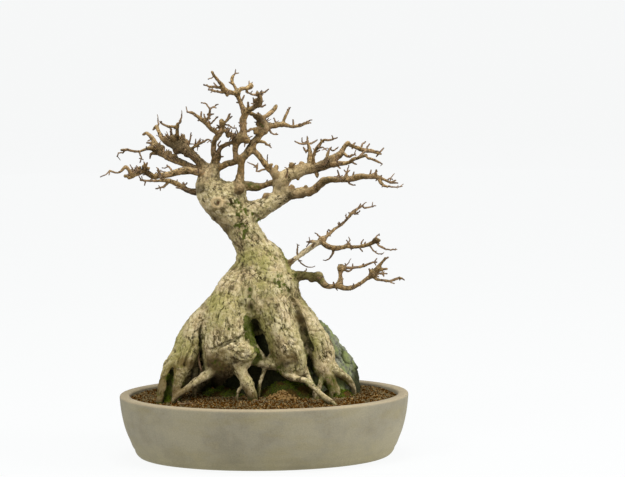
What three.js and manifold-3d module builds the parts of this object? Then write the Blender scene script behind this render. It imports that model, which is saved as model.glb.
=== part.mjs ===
// Trident maple bonsai, grown over a rock in an oval stoneware pot. Millimetres, +Z up.
// The origin is the centre of the pot's underside. The front of the tree faces -Y.
import * as THREE from 'three';
import { mergeVertices } from 'three/addons/utils/BufferGeometryUtils.js';
import Module from 'manifold-3d';

// Driving dimensions of the pot
const POT_LENGTH = 500;
const POT_WIDTH = 372;
const POT_HEIGHT = 110;
const LIP_WIDTH = 18;
const FLOOR_THICKNESS = 14;
const FLOOR_RISE = 0.6;
const DRAIN_DIAMETER = 32;
const DRAIN_SPACING = 220;
const CHANNEL_WIDTH = 12;
const CHANNEL_DEPTH = 3;

// Driving dimensions of what fills it
const SOIL_BELOW_RIM = 7;
const MOUND_HEIGHT = 10;
const SCREEN_SIZE = 46;
const SCREEN_THICKNESS = 1.4;
const SCREEN_ROWS = 4;
const SCREEN_BAR = 2.8;
const GAP = 0.3;
const ROOT_GAP = 0.45;

// The tree is drawn as it is seen by someone standing in front of it. A point is noted by its
// place on the upright plane through the pot's middle, and a depth slides it along the line of
// sight, so that it stays at the same spot of the front view.
const VIEW_DISTANCE = 4930;
const VIEW_HEIGHT = 905;

// How fine the stems are: the least step along a stem, and the smallest facet that stays.
const LEAST_STEP = 17;
const STEP_IN_RADII = 0.62;
const FINEST = 0.14;

const wasm = await Module();
wasm.setup();

// Solids: a closed three.js geometry becomes a solid that can be joined and cut, and goes back.
function toSolid(geometry) {
  const bare = geometry.clone();
  bare.deleteAttribute('normal');
  bare.deleteAttribute('uv');
  const merged = mergeVertices(bare, 1e-4);
  const mesh = new wasm.Mesh({
    numProp: 3,
    vertProperties: new Float32Array(merged.attributes.position.array),
    triVerts: new Uint32Array(merged.index.array),
  });
  return new wasm.Manifold(mesh);
}

function toGeometry(solid) {
  const mesh = solid.getMesh();
  const geometry = new THREE.BufferGeometry();
  geometry.setAttribute('position', new THREE.BufferAttribute(new Float32Array(mesh.vertProperties), 3));
  geometry.setIndex(new THREE.BufferAttribute(new Uint32Array(mesh.triVerts), 1));
  geometry.computeVertexNormals();
  return geometry;
}

// Only the largest body is kept of a solid that a cut has broken up.
function largestBody(solid) {
  const bodies = solid.decompose();
  bodies.sort((a, b) => b.volume() - a.volume());
  return bodies[0];
}

// A random number from 0 to 1, the same run after run.
let seed = 20160214;
function random() {
  seed = (seed * 1664525 + 1013904223) % 4294967296;
  return seed / 4294967296;
}

function sightPoint(x, z, depth) {
  const reach = (VIEW_DISTANCE + depth) / VIEW_DISTANCE;
  return new THREE.Vector3(x * reach, depth, VIEW_HEIGHT + (z - VIEW_HEIGHT) * reach);
}

// Stem: a cylinder bent along its points, each with a place and a radius. Sections turn with the
// path without twisting. Growing it by a clearance gives the tool that cuts its hole.
function stem(points, sides, clearance = 0) {
  const steps = points.length - 1;
  const tangents = points.map((point, i) => {
    const before = points[Math.max(i - 1, 0)].place;
    const after = points[Math.min(i + 1, steps)].place;
    return after.clone().sub(before).normalize();
  });
  const across = [];
  const start = Math.abs(tangents[0].y) < 0.8 ? new THREE.Vector3(0, 1, 0) : new THREE.Vector3(1, 0, 0);
  let side = start;
  for (const tangent of tangents) {
    side = side.clone().addScaledVector(tangent, -side.dot(tangent)).normalize();
    across.push(side);
  }
  const tube = new THREE.CylinderGeometry(1, 1, 1, sides, steps);
  const position = tube.attributes.position;
  for (let i = 0; i < position.count; i += 1) {
    const step = Math.round((position.getY(i) + 0.5) * steps);
    const radius = points[step].radius + clearance;
    const end = step === 0 ? -clearance : (step === steps ? clearance : 0);
    const third = new THREE.Vector3().crossVectors(across[step], tangents[step]);
    const place = points[step].place.clone()
      .addScaledVector(tangents[step], end)
      .addScaledVector(across[step], position.getX(i) * radius)
      .addScaledVector(third, position.getZ(i) * radius);
    position.setXYZ(i, place.x, place.y, place.z);
  }
  return toSolid(tube);
}

// Sides of a stem's section: round where it is thick, a triangle at the thinnest twigs.
function sidesFor(points) {
  const thickest = Math.max(...points.map((point) => point.radius));
  const limits = [[30, 10], [15, 8], [8, 6], [4.4, 5], [2.6, 4]];
  const found = limits.find(([least]) => thickest >= least);
  return found ? found[1] : 3;
}

// Leaves out the points of a path that follow the last one kept within a few radii.
function thinned(points) {
  const kept = [points[0]];
  points.slice(1, -1).forEach((point) => {
    const last = kept[kept.length - 1];
    const least = Math.max(LEAST_STEP, STEP_IN_RADII * point.radius);
    if (point.place.distanceTo(last.place) > least) {
      kept.push(point);
    }
  });
  kept.push(points[points.length - 1]);
  return kept;
}

// Trunk and roots: [x, z, radius, depth] from the top down. The trunk parts into roots that run
// over the rock, and each root ends in the soil.
const trunkAndRoots = {
  trunk: [[-69, 455, 29, 0], [-66, 442, 32, 0], [-60, 426, 28, 0], [-43, 407, 27, 0], [-29, 389, 28.5, 0],
    [-19, 370, 29, 0], [-13, 355, 34, 0], [-9, 342, 39.5, 0], [-5, 331, 43.5, 0], [-5, 318, 49, 2],
    [-7, 303, 57, 4], [-8, 285, 64, 8], [-10, 266, 60, 12], [-10, 244, 48, 16]],
  belly: [[-32, 316, 20, -12], [-44, 298, 27, -18], [-58, 264, 35, -22], [-66, 236, 41, -27],
    [-68, 205, 40, -30], [-70, 180, 36, -32], [-72, 162, 26, -32], [-74, 151, 12, -32]],
  burl: [[-60, 196, 18, -46], [-48, 186, 20, -52], [-33, 176, 20, -54], [-20, 176, 11, -56],
    [-14, 178, 5, -56]],
  innerRoot: [[-52, 176, 16, -44], [-42, 158, 15, -52], [-32, 138, 14.5, -58], [-27, 120, 13, -62],
    [-27, 104, 9, -64], [-28, 86, 5, -64]],
  sideRootlet: [[-44, 150, 5, -50], [-46, 128, 4, -58], [-46, 110, 3.4, -62], [-45, 92, 2.4, -64]],
  outerLeftRoot: [[-40, 300, 20, 2], [-66, 275, 21, 0], [-92, 248, 20.5, -4], [-112, 224, 23, -9],
    [-126, 203, 22.5, -14], [-138, 177, 21, -22], [-152, 156, 19.5, -32], [-163, 134, 17, -42],
    [-171, 113, 13, -50], [-177, 99, 9, -55], [-184, 82, 5, -60]],
  secondLeftRoot: [[-97, 247, 16, -18], [-114, 222, 19, -28], [-123, 196, 16, -38], [-131, 172, 13, -46],
    [-141, 150, 11, -52], [-149, 130, 9, -56], [-155, 110, 6.5, -58], [-158, 90, 4, -60]],
  diagonalRoot: [[-86, 154, 11, -40], [-102, 139, 8, -50], [-122, 125, 6.8, -58], [-146, 108, 5.8, -66],
    [-160, 94, 4.6, -70], [-167, 82, 3, -73]],
  centreRoot: [[8, 304, 34, -12], [15, 268, 34, -21], [25, 234, 31.5, -28], [35, 206, 30, -33],
    [44, 180, 29, -36], [48, 160, 25, -38], [50, 147, 17, -40], [51, 140, 8, -40]],
  rightRoot: [[26, 304, 25, -2], [40, 275, 24, -7], [61, 245, 23, -11], [82, 215, 21.5, -14],
    [98, 190, 20.5, -17], [107, 166, 18, -20], [112, 146, 15, -23], [118, 127, 11, -27],
    [125, 108, 7.5, -31], [130, 88, 4, -34]],
  rockRoot: [[110, 168, 10, -12], [126, 148, 9, 2], [139, 135, 8.5, 14], [149, 125, 8, 24],
    [156, 112, 6, 32], [160, 94, 4, 38]],
  rightRootlet: [[104, 150, 8, -36], [111, 134, 6, -40], [116, 118, 5, -42], [116, 100, 3.4, -42],
    [114, 86, 2.4, -42]],
  frontRoot: [[40, 146, 10, -50], [47, 136, 7.6, -58], [58, 133, 7, -65], [70, 129, 6.6, -72],
    [85, 116, 6.2, -82], [102, 99, 5.4, -92], [115, 90, 4, -98], [127, 84, 2.6, -104],
    [137, 78, 1.6, -108]],
  frontRootFork: [[104, 98, 4.4, -93], [112, 90, 3, -97], [120, 82, 2, -100], [124, 74, 1.4, -102]],
  yellowRootlet: [[14, 172, 7, -34], [6, 160, 4.6, -38], [-2, 142, 3.6, -42], [-8, 122, 3, -46],
    [-10, 96, 2, -48]],
  caveRoot: [[-64, 170, 18, 6], [-60, 146, 14, 14], [-62, 120, 11, 20], [-66, 92, 7, 24]],
  backLeftRoot: [[-38, 298, 28, 18], [-60, 268, 27, 32], [-86, 236, 25, 46], [-106, 204, 23, 57],
    [-122, 172, 20, 66], [-136, 142, 16, 76], [-146, 118, 11, 84], [-152, 94, 6, 90]],
  backRoot: [[-8, 300, 40, 26], [-18, 262, 39, 40], [-14, 226, 34, 52], [-4, 190, 27, 62], [2, 158, 21, 70],
    [2, 132, 16, 78], [-2, 108, 10, 84], [-4, 88, 6, 88]],
  backRightRoot: [[18, 302, 30, 20], [36, 268, 26, 34], [58, 238, 23, 46], [78, 206, 20, 56],
    [92, 176, 17, 64],
    [102, 148, 14, 72], [112, 124, 10, 80], [120, 98, 6, 88]],
};

// Limbs and twigs: [x, z, radius] from root to tip. Each grows on the limb it names, from the
// nearest point of that limb's middle, and leans by so many mm of depth on its way to the tip,
// forwards if negative.
const limbs = [
  // The fork at the trunk's top
  { name: 'leftFork', on: 'trunk', lean: 10, path: [[-74, 440, 27], [-86, 456, 24.5], [-92, 474, 20.5],
    [-87, 490, 14], [-82, 502, 10], [-79, 513, 7]] },
  { name: 'rightFork', on: 'trunk', lean: -8, path: [[-48, 436, 22], [-44, 456, 16], [-40, 470, 10.5],
    [-38, 484, 8.4], [-36, 496, 7], [-35, 507, 6.2], [-34, 517, 5.8]] },
  { name: 'rightLimb', on: 'trunk', lean: -6, path: [[-44, 414, 26], [-26, 421, 20], [-6, 430, 17.5],
    [14, 439, 15], [30, 447, 13], [42, 455, 11.5]] },
  { name: 'backBridge', on: 'trunk', lean: 8, path: [[-46, 458, 10], [-28, 470.5, 8.4], [-12, 468, 7.6],
    [2, 470.5, 5.4], [14, 474.5, 5], [32, 474, 7]] },
  // Left side, from the lowest limb up
  { name: 'shadedLimb', on: 'leftFork', lean: 56, path: [[-104, 460, 8], [-120, 461, 5.8], [-132, 466, 5],
    [-145, 474, 4.8], [-158, 480, 4], [-169, 481.5, 3], [-183, 480, 2.2], [-199, 481, 1.9],
    [-208, 482, 2.2]] },
  { on: 'shadedLimb', lean: -8, path: [[-205, 482, 1.5], [-206.5, 489, 1]] },
  { on: 'shadedLimb', lean: 18, path: [[-158, 480, 2.4], [-170, 470, 1.7], [-182, 467, 1.3]] },
  { name: 'tanLimb', on: 'leftFork', lean: -62, path: [[-96, 489, 8], [-108, 494, 6.6], [-120, 497, 6.4],
    [-134, 497.5, 6.5], [-149, 494, 5.6], [-164, 490, 5.3], [-175, 489.5, 4.9], [-184, 487.5, 4.8],
    [-193, 492, 5], [-202, 497, 4.8], [-212, 494, 4.2], [-221, 490, 3.8], [-228, 486, 3]] },
  { name: 'tanTip', on: 'tanLimb', lean: -8, path: [[-225, 495, 3.5], [-230, 502, 3], [-233.5, 505.5, 2.7],
    [-239, 500, 2.4], [-245, 495, 1.7], [-252, 495.5, 1.5], [-262, 498, 1.5], [-266, 493, 1.2],
    [-277, 488, 0.8]] },
  { on: 'tanLimb', lean: -4, path: [[-199, 504, 2.4], [-202, 513.5, 1.1]] },
  { on: 'tanLimb', lean: 5, path: [[-211, 500, 2], [-215, 506, 1]] },
  { on: 'tanLimb', lean: 4, path: [[-220, 498, 1.6], [-225.5, 508, 0.8]] },
  { name: 'tanSpur', on: 'tanLimb', lean: 8, path: [[-155, 499, 1.8], [-163, 508, 1.2]] },
  { on: 'tanSpur', lean: 4, path: [[-162, 504, 1.2], [-171, 502, 0.9]] },
  { on: 'tanLimb', lean: -10, path: [[-176, 495, 2.4], [-178, 501, 1.4]] },
  { name: 'darkLimb', on: 'leftFork', lean: 88, path: [[-100, 494, 8], [-114, 500, 6.8], [-125, 506, 6],
    [-141, 513, 5.6], [-157, 519.5, 6], [-168, 526, 6.2], [-178, 531, 5.4]] },
  { on: 'darkLimb', lean: 22, path: [[-172, 534, 5], [-179, 541, 4.8], [-185.5, 551, 4], [-192, 559, 3.4],
    [-197.5, 563, 2.8], [-202, 560, 1.8]] },
  { on: 'darkLimb', lean: 8, path: [[-181, 543, 2.6], [-196, 546, 1.5]] },
  { name: 'darkTip', on: 'darkLimb', lean: -26, path: [[-180, 532, 4.6], [-190.5, 537, 4], [-200, 534.5, 3],
    [-209, 531.5, 2.5], [-218, 531.5, 2.2], [-228, 534, 2.2], [-241, 534, 2.2]] },
  { on: 'darkTip', lean: -8, path: [[-236, 530, 1.6], [-245, 529, 1.3], [-248, 523, 1]] },
  { on: 'darkTip', lean: -6, path: [[-209, 530, 1.6], [-206.5, 521, 1.4], [-208.5, 512, 1]] },
  { on: 'darkLimb', lean: -8, path: [[-182, 528, 2.8], [-189.5, 527, 2.4], [-191.5, 519, 1.1]] },
  { name: 'highLimb', on: 'leftFork', lean: 52, path: [[-92, 500, 10], [-101, 507, 8], [-110, 515, 7.6],
    [-119, 524, 9], [-128, 532, 12.5], [-139, 538, 14.5], [-149, 543, 12.5], [-158, 546, 8]] },
  { name: 'highPost', on: 'highLimb', lean: -14, path: [[-145, 556, 4.4], [-144, 568, 3.4],
    [-143.5, 578, 3]] },
  { on: 'highPost', lean: -6, path: [[-140, 579, 2], [-137.5, 586, 1.6], [-136, 594, 1]] },
  { on: 'highPost', lean: -10, path: [[-152, 573.5, 2.4], [-161, 574.5, 2], [-169, 578, 1.8],
    [-174, 582, 1.3]] },
  { on: 'highLimb', lean: -12, path: [[-154.5, 558, 2.4], [-156, 573, 1.8]] },
  { name: 'highTip', on: 'highLimb', lean: 24, path: [[-158, 544, 5], [-167, 550, 5], [-172, 557.5, 4],
    [-176.5, 566.5, 3], [-180, 574, 3], [-186, 568, 1.4]] },
  { on: 'highTip', lean: 6, path: [[-177, 576, 1.8], [-177, 588, 1]] },
  { on: 'highLimb', lean: 8, path: [[-135, 547, 5], [-134.5, 556, 4]] },
  { on: 'highLimb', lean: -6, path: [[-124, 545, 1.8], [-120.5, 563, 1]] },
  { on: 'highLimb', lean: -30, path: [[-118, 536, 3.2], [-108, 543, 2.4], [-99, 547, 1.9],
    [-90.5, 551, 1.4],
    [-86, 546.5, 1]] },
  // Centre, over the left fork
  { name: 'frontLimb', on: 'leftFork', lean: -52, path: [[-81, 520, 5.6], [-82, 537, 4.4], [-80, 549, 4.6],
    [-74.5, 557, 4.9], [-68.5, 565.5, 4.6], [-67, 574, 4.5], [-68, 582, 3.8]] },
  { on: 'frontLimb', lean: -14, path: [[-63.5, 579, 2.4], [-58, 585, 1.8], [-54, 595, 1.4]] },
  { on: 'frontLimb', lean: -6, path: [[-61, 581, 1.6], [-50, 589.5, 1.1]] },
  { on: 'frontLimb', lean: -5, path: [[-72, 572, 2], [-79.5, 567.5, 1.3]] },
  { on: 'frontLimb', lean: -12, path: [[-58, 576, 1.5], [-50, 570.5, 1.2], [-43, 569.5, 0.9]] },
  { name: 'frontSide', on: 'frontLimb', lean: -34, path: [[-86, 569, 3.8], [-93, 576.5, 4],
    [-101, 584, 3.9],
    [-110.5, 591, 3.1], [-120.5, 597.5, 2.4], [-126, 598, 1.4]] },
  { name: 'frontFork', on: 'frontSide', lean: -12, path: [[-89, 590, 2.2], [-88, 603, 1.8]] },
  { on: 'frontFork', lean: -6, path: [[-91, 608, 1.4], [-96.5, 613, 1.3], [-102, 613.5, 1]] },
  { on: 'frontFork', lean: 5, path: [[-82, 606, 1.5], [-73.5, 611, 1.1]] },
  { on: 'frontSide', lean: -6, path: [[-84, 580, 1.5], [-73.5, 590, 1]] },
  { on: 'frontSide', lean: 8, path: [[-97, 588, 1.8], [-99, 595, 1]] },
  { name: 'slimLimb', on: 'leftFork', lean: -16, path: [[-75, 520, 5], [-73.5, 531, 4.2], [-69, 538, 4],
    [-60, 542, 3.7], [-50, 545.5, 3.6], [-42, 549, 4]] },
  { on: 'slimLimb', lean: -6, path: [[-75, 540, 1.6], [-70, 548, 1.1]] },
  // Centre, over the right fork: an arch to the right and a knot under the top stem
  { name: 'archLimb', on: 'rightFork', lean: 28, path: [[-33, 518, 6.4], [-25.5, 525, 7.4], [-20, 534, 7.4],
    [-15, 543, 6.6], [-7, 552, 5.6], [-1, 561, 7.2], [4, 570, 9.4], [2, 578, 7]] },
  { name: 'leftTie', on: 'leftFork', lean: -14, path: [[-72, 503, 6], [-61, 508, 5.6], [-49, 511, 5.5],
    [-36, 516, 5.5]] },
  { name: 'topStem', on: 'rightFork', lean: 8, path: [[-43, 516, 5], [-45, 528, 5], [-44.5, 538, 5.6],
    [-40, 547, 7], [-34, 554, 8.6], [-31, 563, 6.6], [-31, 572, 5.6], [-31, 583, 6], [-28, 592, 5.6],
    [-30, 601, 4.8], [-34, 610, 4.4], [-37, 619, 4.2], [-41, 629, 4.6]] },
  { on: 'topStem', lean: -4, path: [[-29, 551, 7], [-25, 549, 5]] },
  { on: 'frontLimb', lean: 36, path: [[-62, 565, 3.2], [-56.5, 560, 3], [-50, 555.5, 3.6],
    [-42, 554, 4.4]] },
  { name: 'archTip', on: 'archLimb', lean: -22, path: [[0, 580, 6.4], [-4, 587, 5.2], [-9.5, 590, 4.4],
    [-15, 593.5, 3.3], [-22, 597, 3]] },
  { on: 'archLimb', lean: -22, path: [[-7, 568, 3.4], [-17, 567.5, 2.5], [-23.5, 564, 1.8]] },
  { on: 'archTip', lean: 18, path: [[4, 587, 3.8], [11.5, 591.5, 4], [18, 597, 4], [23.5, 602.5, 3.8],
    [26, 608, 2.6]] },
  { name: 'archArm', on: 'archLimb', lean: 58, path: [[13.5, 573, 6.6], [21, 573, 5.2], [29, 575, 5],
    [36.5, 575, 4.8], [44, 573.5, 3.6], [52, 571.5, 3.1], [62, 572, 3], [71.5, 574.5, 2.6], [77, 577, 2.4],
    [85, 577.5, 1.3]] },
  { on: 'archArm', lean: 12, path: [[38.5, 582, 2.6], [43, 592, 2.5], [46, 598, 2.2], [48.5, 603, 1.6]] },
  { on: 'archArm', lean: -14, path: [[14.5, 564, 2], [20, 559, 1.4], [29, 558.5, 1.1]] },
  { on: 'archLimb', lean: -12, path: [[-6, 548, 3.4], [4.7, 545, 2.8], [10, 540.5, 2], [15.6, 539, 1.1]] },
  // Top
  { name: 'topLeft', on: 'topStem', lean: -30, path: [[-51, 631, 4.5], [-58.5, 632, 4.8], [-64, 637, 4.5],
    [-67, 644, 4], [-72.5, 650.5, 2.9], [-79.5, 659.5, 2.4], [-83.5, 666.5, 2]] },
  { on: 'topLeft', lean: -4, path: [[-80, 658, 1.4], [-90, 653.5, 1]] },
  { on: 'topLeft', lean: 26, path: [[-70.5, 640, 2.6], [-80.5, 640.5, 2.1], [-90, 642, 1.8],
    [-97.5, 645, 1.2]] },
  { on: 'topLeft', lean: -14, path: [[-64, 631.5, 2.8], [-72, 632, 2.1], [-80.5, 634, 1.9],
    [-90, 636.5, 1.4]] },
  { name: 'topTwig', on: 'topStem', lean: 12, path: [[-43, 637, 3], [-46.5, 644, 2.6], [-49.5, 651, 2.5],
    [-47.5, 658.5, 2], [-44, 663, 1.4], [-43, 668, 0.9]] },
  { on: 'topTwig', lean: 6, path: [[-42, 663, 1.2], [-38, 664, 0.8]] },
  { name: 'topRight', on: 'topStem', lean: 26, path: [[-34, 637, 4], [-25.5, 637.5, 3.2], [-20.5, 640, 3.4],
    [-16, 647, 1]] },
  { on: 'topRight', lean: 8, path: [[-24, 632, 1.8], [-18, 628, 1.6], [-6, 626.5, 2.4]] },
  { name: 'cluster', on: 'topStem', lean: -34, path: [[-23, 599, 4.4], [-15, 603, 4.4], [-8, 608, 5],
    [-2, 614, 5], [-1.5, 621, 4], [-6, 630, 3]] },
  { on: 'cluster', lean: -14, path: [[0, 629, 2], [7, 631, 1.5], [13.5, 636, 1.1]] },
  { on: 'cluster', lean: -8, path: [[-12, 612, 1.8], [-13, 622, 1.2]] },
  { on: 'cluster', lean: -10, path: [[0, 606, 2], [7.5, 609.5, 1.4]] },
  { on: 'topStem', lean: -12, path: [[-23, 603, 2.4], [-22.5, 613, 1.8]] },
  // Right side, upper limb
  { name: 'upperRight', on: 'rightLimb', lean: 40, path: [[32, 456, 12], [30, 470, 10.6], [37, 482, 10.6],
    [50, 490, 11], [61.5, 494, 11], [72, 498, 10], [84, 499, 9], [97, 501, 8.5], [110, 506, 8.5],
    [119, 512, 8], [127, 518, 7], [134, 523, 6.2], [139, 531, 5], [144, 538, 4.4], [148, 542, 3.8]] },
  { on: 'upperRight', lean: -6, path: [[51.5, 501, 5], [51.5, 507, 3]] },
  { name: 'upperTip', on: 'upperRight', lean: 44, path: [[153, 538, 3.5], [162.5, 534.5, 3.5],
    [171, 531, 3.8], [181, 528.5, 3.7], [190, 528, 3.4], [198, 525, 2.8], [204.5, 522.5, 1.6]] },
  { on: 'upperTip', lean: 8, path: [[172, 538, 1.8], [179, 544.5, 1.2]] },
  { name: 'post', on: 'upperRight', lean: 22, path: [[82, 514, 4.6], [83, 527, 4.3], [81, 536, 3.2],
    [79, 546, 2.2], [78.5, 555, 1.1]] },
  { on: 'post', lean: -10, path: [[76, 542, 2], [66, 541.5, 1.6], [56, 547, 1.1]] },
  { on: 'post', lean: 6, path: [[70, 544, 1.3], [70, 553, 0.9]] },
  { on: 'post', lean: 14, path: [[86, 542.5, 1.8], [95.5, 548, 1.2]] },
  { on: 'post', lean: -8, path: [[77, 529, 2], [71.5, 536, 1.5]] },
  { name: 'splitTwig', on: 'upperRight', lean: -32, path: [[88.5, 510, 3.4], [89, 519, 3], [92, 529, 3],
    [97, 536, 3.2], [102, 543, 2.6], [107, 548, 2.4], [115, 547, 2], [122, 549, 1.6],
    [130.5, 551.5, 1.2]] },
  { on: 'splitTwig', lean: -10, path: [[99, 534, 1.6], [105, 535, 1.3], [111, 529.5, 1]] },
  { name: 'midPost', on: 'upperRight', lean: 18, path: [[113, 515, 3], [113.5, 524, 2.5], [116, 531, 1.8],
    [119.5, 536, 1]] },
  { on: 'midPost', lean: 8, path: [[121.5, 529.5, 1.5], [130.5, 534, 1.1]] },
  { name: 'upperLow', on: 'upperRight', lean: -58, path: [[118, 507, 6], [133, 507, 4.6], [143, 507.5, 3.4],
    [150, 509, 3], [157.5, 514, 3.8], [166, 516.5, 3.1], [173, 519, 2.6], [179, 521, 2.6]] },
  { name: 'upperLowTip', on: 'upperLow', lean: -16, path: [[181.5, 516, 2.1], [190, 514, 2.1],
    [198, 510, 1.8], [207.5, 505.5, 1]] },
  { on: 'upperLow', lean: -4, path: [[157.5, 508.5, 1.6], [163, 505, 1.1]] },
  { on: 'upperLow', lean: 6, path: [[131, 503, 2], [135, 498, 1.2]] },
  { on: 'upperRight', lean: -20, path: [[142, 523, 2.6], [150, 518.5, 2.1], [155, 521, 1.8],
    [161.5, 523, 1]] },
  { on: 'upperRight', lean: -6, path: [[93.5, 490, 2.4], [95.5, 483, 1.3]] },
  // Right side, lower limb
  { name: 'lowerRight', on: 'rightLimb', lean: -78, path: [[46, 457, 11], [56, 456, 9.6], [66, 457, 9],
    [75, 458.5, 8.2], [84, 460, 7.2], [92.5, 465, 7], [99.5, 471, 7.2], [106, 477, 7.2], [114, 479, 6.2],
    [128, 479.5, 5.5], [144, 479.5, 5.4], [155, 480.5, 5.5], [164.5, 483.5, 6], [175, 484, 5.6],
    [184, 484, 4.6], [194, 483.5, 4.4], [202, 481.5, 4]] },
  { on: 'lowerRight', lean: -4, path: [[50.7, 465, 5], [50.5, 469, 3.4]] },
  { on: 'lowerRight', lean: -6, path: [[145.5, 484, 2.2], [147, 494, 1.4], [149, 503, 0.9]] },
  { on: 'lowerRight', lean: -6, path: [[196, 487, 2.4], [196.5, 495, 1.6]] },
  { name: 'lowerTip', on: 'lowerRight', lean: 16, path: [[208, 479.5, 2.6], [216.5, 475.5, 2.2],
    [225, 473, 1.9], [235, 472.5, 1.3]] },
  { on: 'lowerTip', lean: 6, path: [[217, 479, 1.4], [225, 479.5, 1]] },
  { on: 'lowerRight', lean: -22, path: [[204, 474, 3.4], [210.5, 467.5, 2.4], [218, 466.5, 1.6],
    [228, 465, 1.3], [240, 466, 0.9]] },
  { on: 'lowerRight', lean: -8, path: [[149, 474, 1.8], [155, 470, 1.3], [161, 470, 1]] },
  { name: 'innerLimb', on: 'upperRight', lean: 0, path: [[28, 483, 8], [20, 493, 6], [10, 501.5, 5.2],
    [2, 512, 5], [-6, 523, 5], [-16, 533, 5]] },
  { on: 'innerLimb', lean: -10, path: [[8, 499, 2], [0, 497, 1.9], [-8.5, 495, 2], [-8, 502, 1.7],
    [-14, 505.5, 1.2], [-24, 511, 0.8]] },
  { on: 'innerLimb', lean: 10, path: [[24, 500, 3], [25, 504, 1.6]] },
  // Right side, the two limbs low on the trunk
  { name: 'straightLimb', on: 'trunk', lean: 14, path: [[34, 326, 9], [45, 335, 6.2], [58.7, 345.5, 4.8],
    [74, 356.3, 4.6], [89.6, 367, 4.6], [98.9, 373, 5], [105, 377, 5]] },
  { name: 'straightUpper', on: 'straightLimb', lean: 52, path: [[112, 383, 3.2], [121, 391.5, 2.8],
    [134.6, 400.7, 2.3], [145.5, 410, 2.2], [151, 418, 2.8], [159, 425, 2.6], [168, 431, 2.1],
    [173.5, 435.2, 1.6]] },
  { on: 'straightUpper', lean: 8, path: [[174, 431.5, 1.8], [184, 431.3, 1.5], [196, 434, 1]] },
  { on: 'straightUpper', lean: -5, path: [[134, 402.5, 1.6], [131.5, 406.5, 1]] },
  { on: 'straightUpper', lean: -6, path: [[145, 413, 1.4], [144, 420, 0.9]] },
  { on: 'straightUpper', lean: -14, path: [[158, 420, 1.8], [168, 424.5, 1.1]] },
  { on: 'straightLimb', lean: -6, path: [[98, 381, 1.6], [91, 387.5, 1]] },
  { on: 'straightLimb', lean: -18, path: [[92, 372, 2.4], [82, 372.5, 2.2], [75, 372.5, 1]] },
  { on: 'straightLimb', lean: -8, path: [[60, 351, 2], [61, 367, 1.1]] },
  { on: 'straightLimb', lean: 20, path: [[66, 336, 1.2], [82, 328, 0.9], [90, 330, 0.8]] },
  { name: 'straightLower', on: 'straightLimb', lean: -62, path: [[105.5, 369, 5], [112.7, 364, 4.6],
    [123.5, 361, 4.5], [135.7, 361.8, 4], [146.6, 363.3, 3.6], [158.8, 362.5, 3.4], [171.2, 363.5, 3.2],
    [181.9, 366, 3.2], [190, 370, 3.2], [195, 373, 3.4], [201, 373.5, 2.6]] },
  { name: 'straightTip', on: 'straightLower', lean: -12, path: [[198, 367, 2], [206.5, 361.2, 1.8],
    [214.3, 357.8, 1.6], [229, 357.5, 1.2]] },
  { on: 'straightLower', lean: -10, path: [[186.5, 362, 1.6], [191, 355.2, 1.3], [198.5, 351, 1.2],
    [206.2, 350, 0.9]] },
  { on: 'straightLower', lean: 4, path: [[170, 370, 1.4], [173.7, 375, 0.9]] },
  { on: 'straightLower', lean: -4, path: [[169, 358, 1.4], [172, 355, 1]] },
  { on: 'straightLower', lean: 14, path: [[121, 354, 2.2], [117, 345.5, 1.6], [111, 340.5, 1.1],
    [104, 340, 0.9]] },
  { name: 'greenLimb', on: 'trunk', lean: -44, path: [[38, 306, 13], [52, 312, 10], [64, 313.5, 8.4],
    [78.4, 313.5, 7.8], [92, 311, 7.6], [99.8, 305, 7], [106, 297.5, 6.2], [114, 294.5, 4.9],
    [123, 295.3, 4.2], [131, 295.5, 5], [139, 291.5, 4.6], [150.5, 291.5, 4], [159.6, 294.5, 3.5],
    [170.6, 301, 3.3], [182, 309, 3.6], [190, 315.5, 5]] },
  { name: 'greenUpper', on: 'greenLimb', lean: -8, path: [[196.9, 324, 4], [203, 332, 3], [210.9, 341, 2.3],
    [216, 344.5, 1.4]] },
  { on: 'greenLimb', lean: -8, path: [[200, 322, 3], [213.5, 324, 2.4]] },
  { on: 'greenLimb', lean: 6, path: [[200, 316, 2], [214, 315.5, 1.1]] },
  { name: 'greenLower', on: 'greenLimb', lean: 22, path: [[194, 308, 3], [206, 304, 2.3], [218, 303, 2.2],
    [227.3, 305, 2], [235, 308, 2.2], [244, 304, 1]] },
  { on: 'greenLower', lean: 6, path: [[220, 300.5, 1.3], [227, 298.5, 1]] },
  { on: 'greenLimb', lean: -10, path: [[187, 319, 2.6], [183, 324, 1.5]] },
  { name: 'greenPost', on: 'greenLimb', lean: 18, path: [[132.5, 300, 5], [133.6, 309, 3.8],
    [133.7, 319, 3.6], [135, 328, 4.6]] },
  { name: 'greenArm', on: 'greenPost', lean: 18, path: [[144, 326.5, 2.3], [156.9, 326.9, 2.2],
    [167.8, 327.8, 2.1], [178.5, 331, 2], [188, 335, 1.8], [197, 335.5, 1.2]] },
  { on: 'greenPost', lean: -6, path: [[140, 324, 2.6], [147, 320.5, 1.8], [154, 324, 1.2]] },
  { on: 'greenPost', lean: 8, path: [[143, 330.5, 1.2], [149, 336.5, 0.8]] },
  // Two limbs at the back, which the front ones hide from the front
  { name: 'rearLeft', on: 'leftFork', lean: 116, path: [[-88, 496, 8.4], [-100, 507, 7.4], [-112, 519, 6.6],
    [-124, 531, 5.6], [-135, 542, 4.6], [-144, 549, 3.2]] },
  { name: 'rearRight', on: 'rightLimb', lean: 128, path: [[20, 446, 9], [34, 462, 8], [46, 484, 7.2],
    [62, 494, 6.4], [80, 499, 5.6], [96, 502, 4.6], [108, 507, 3.2]] },
];

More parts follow.
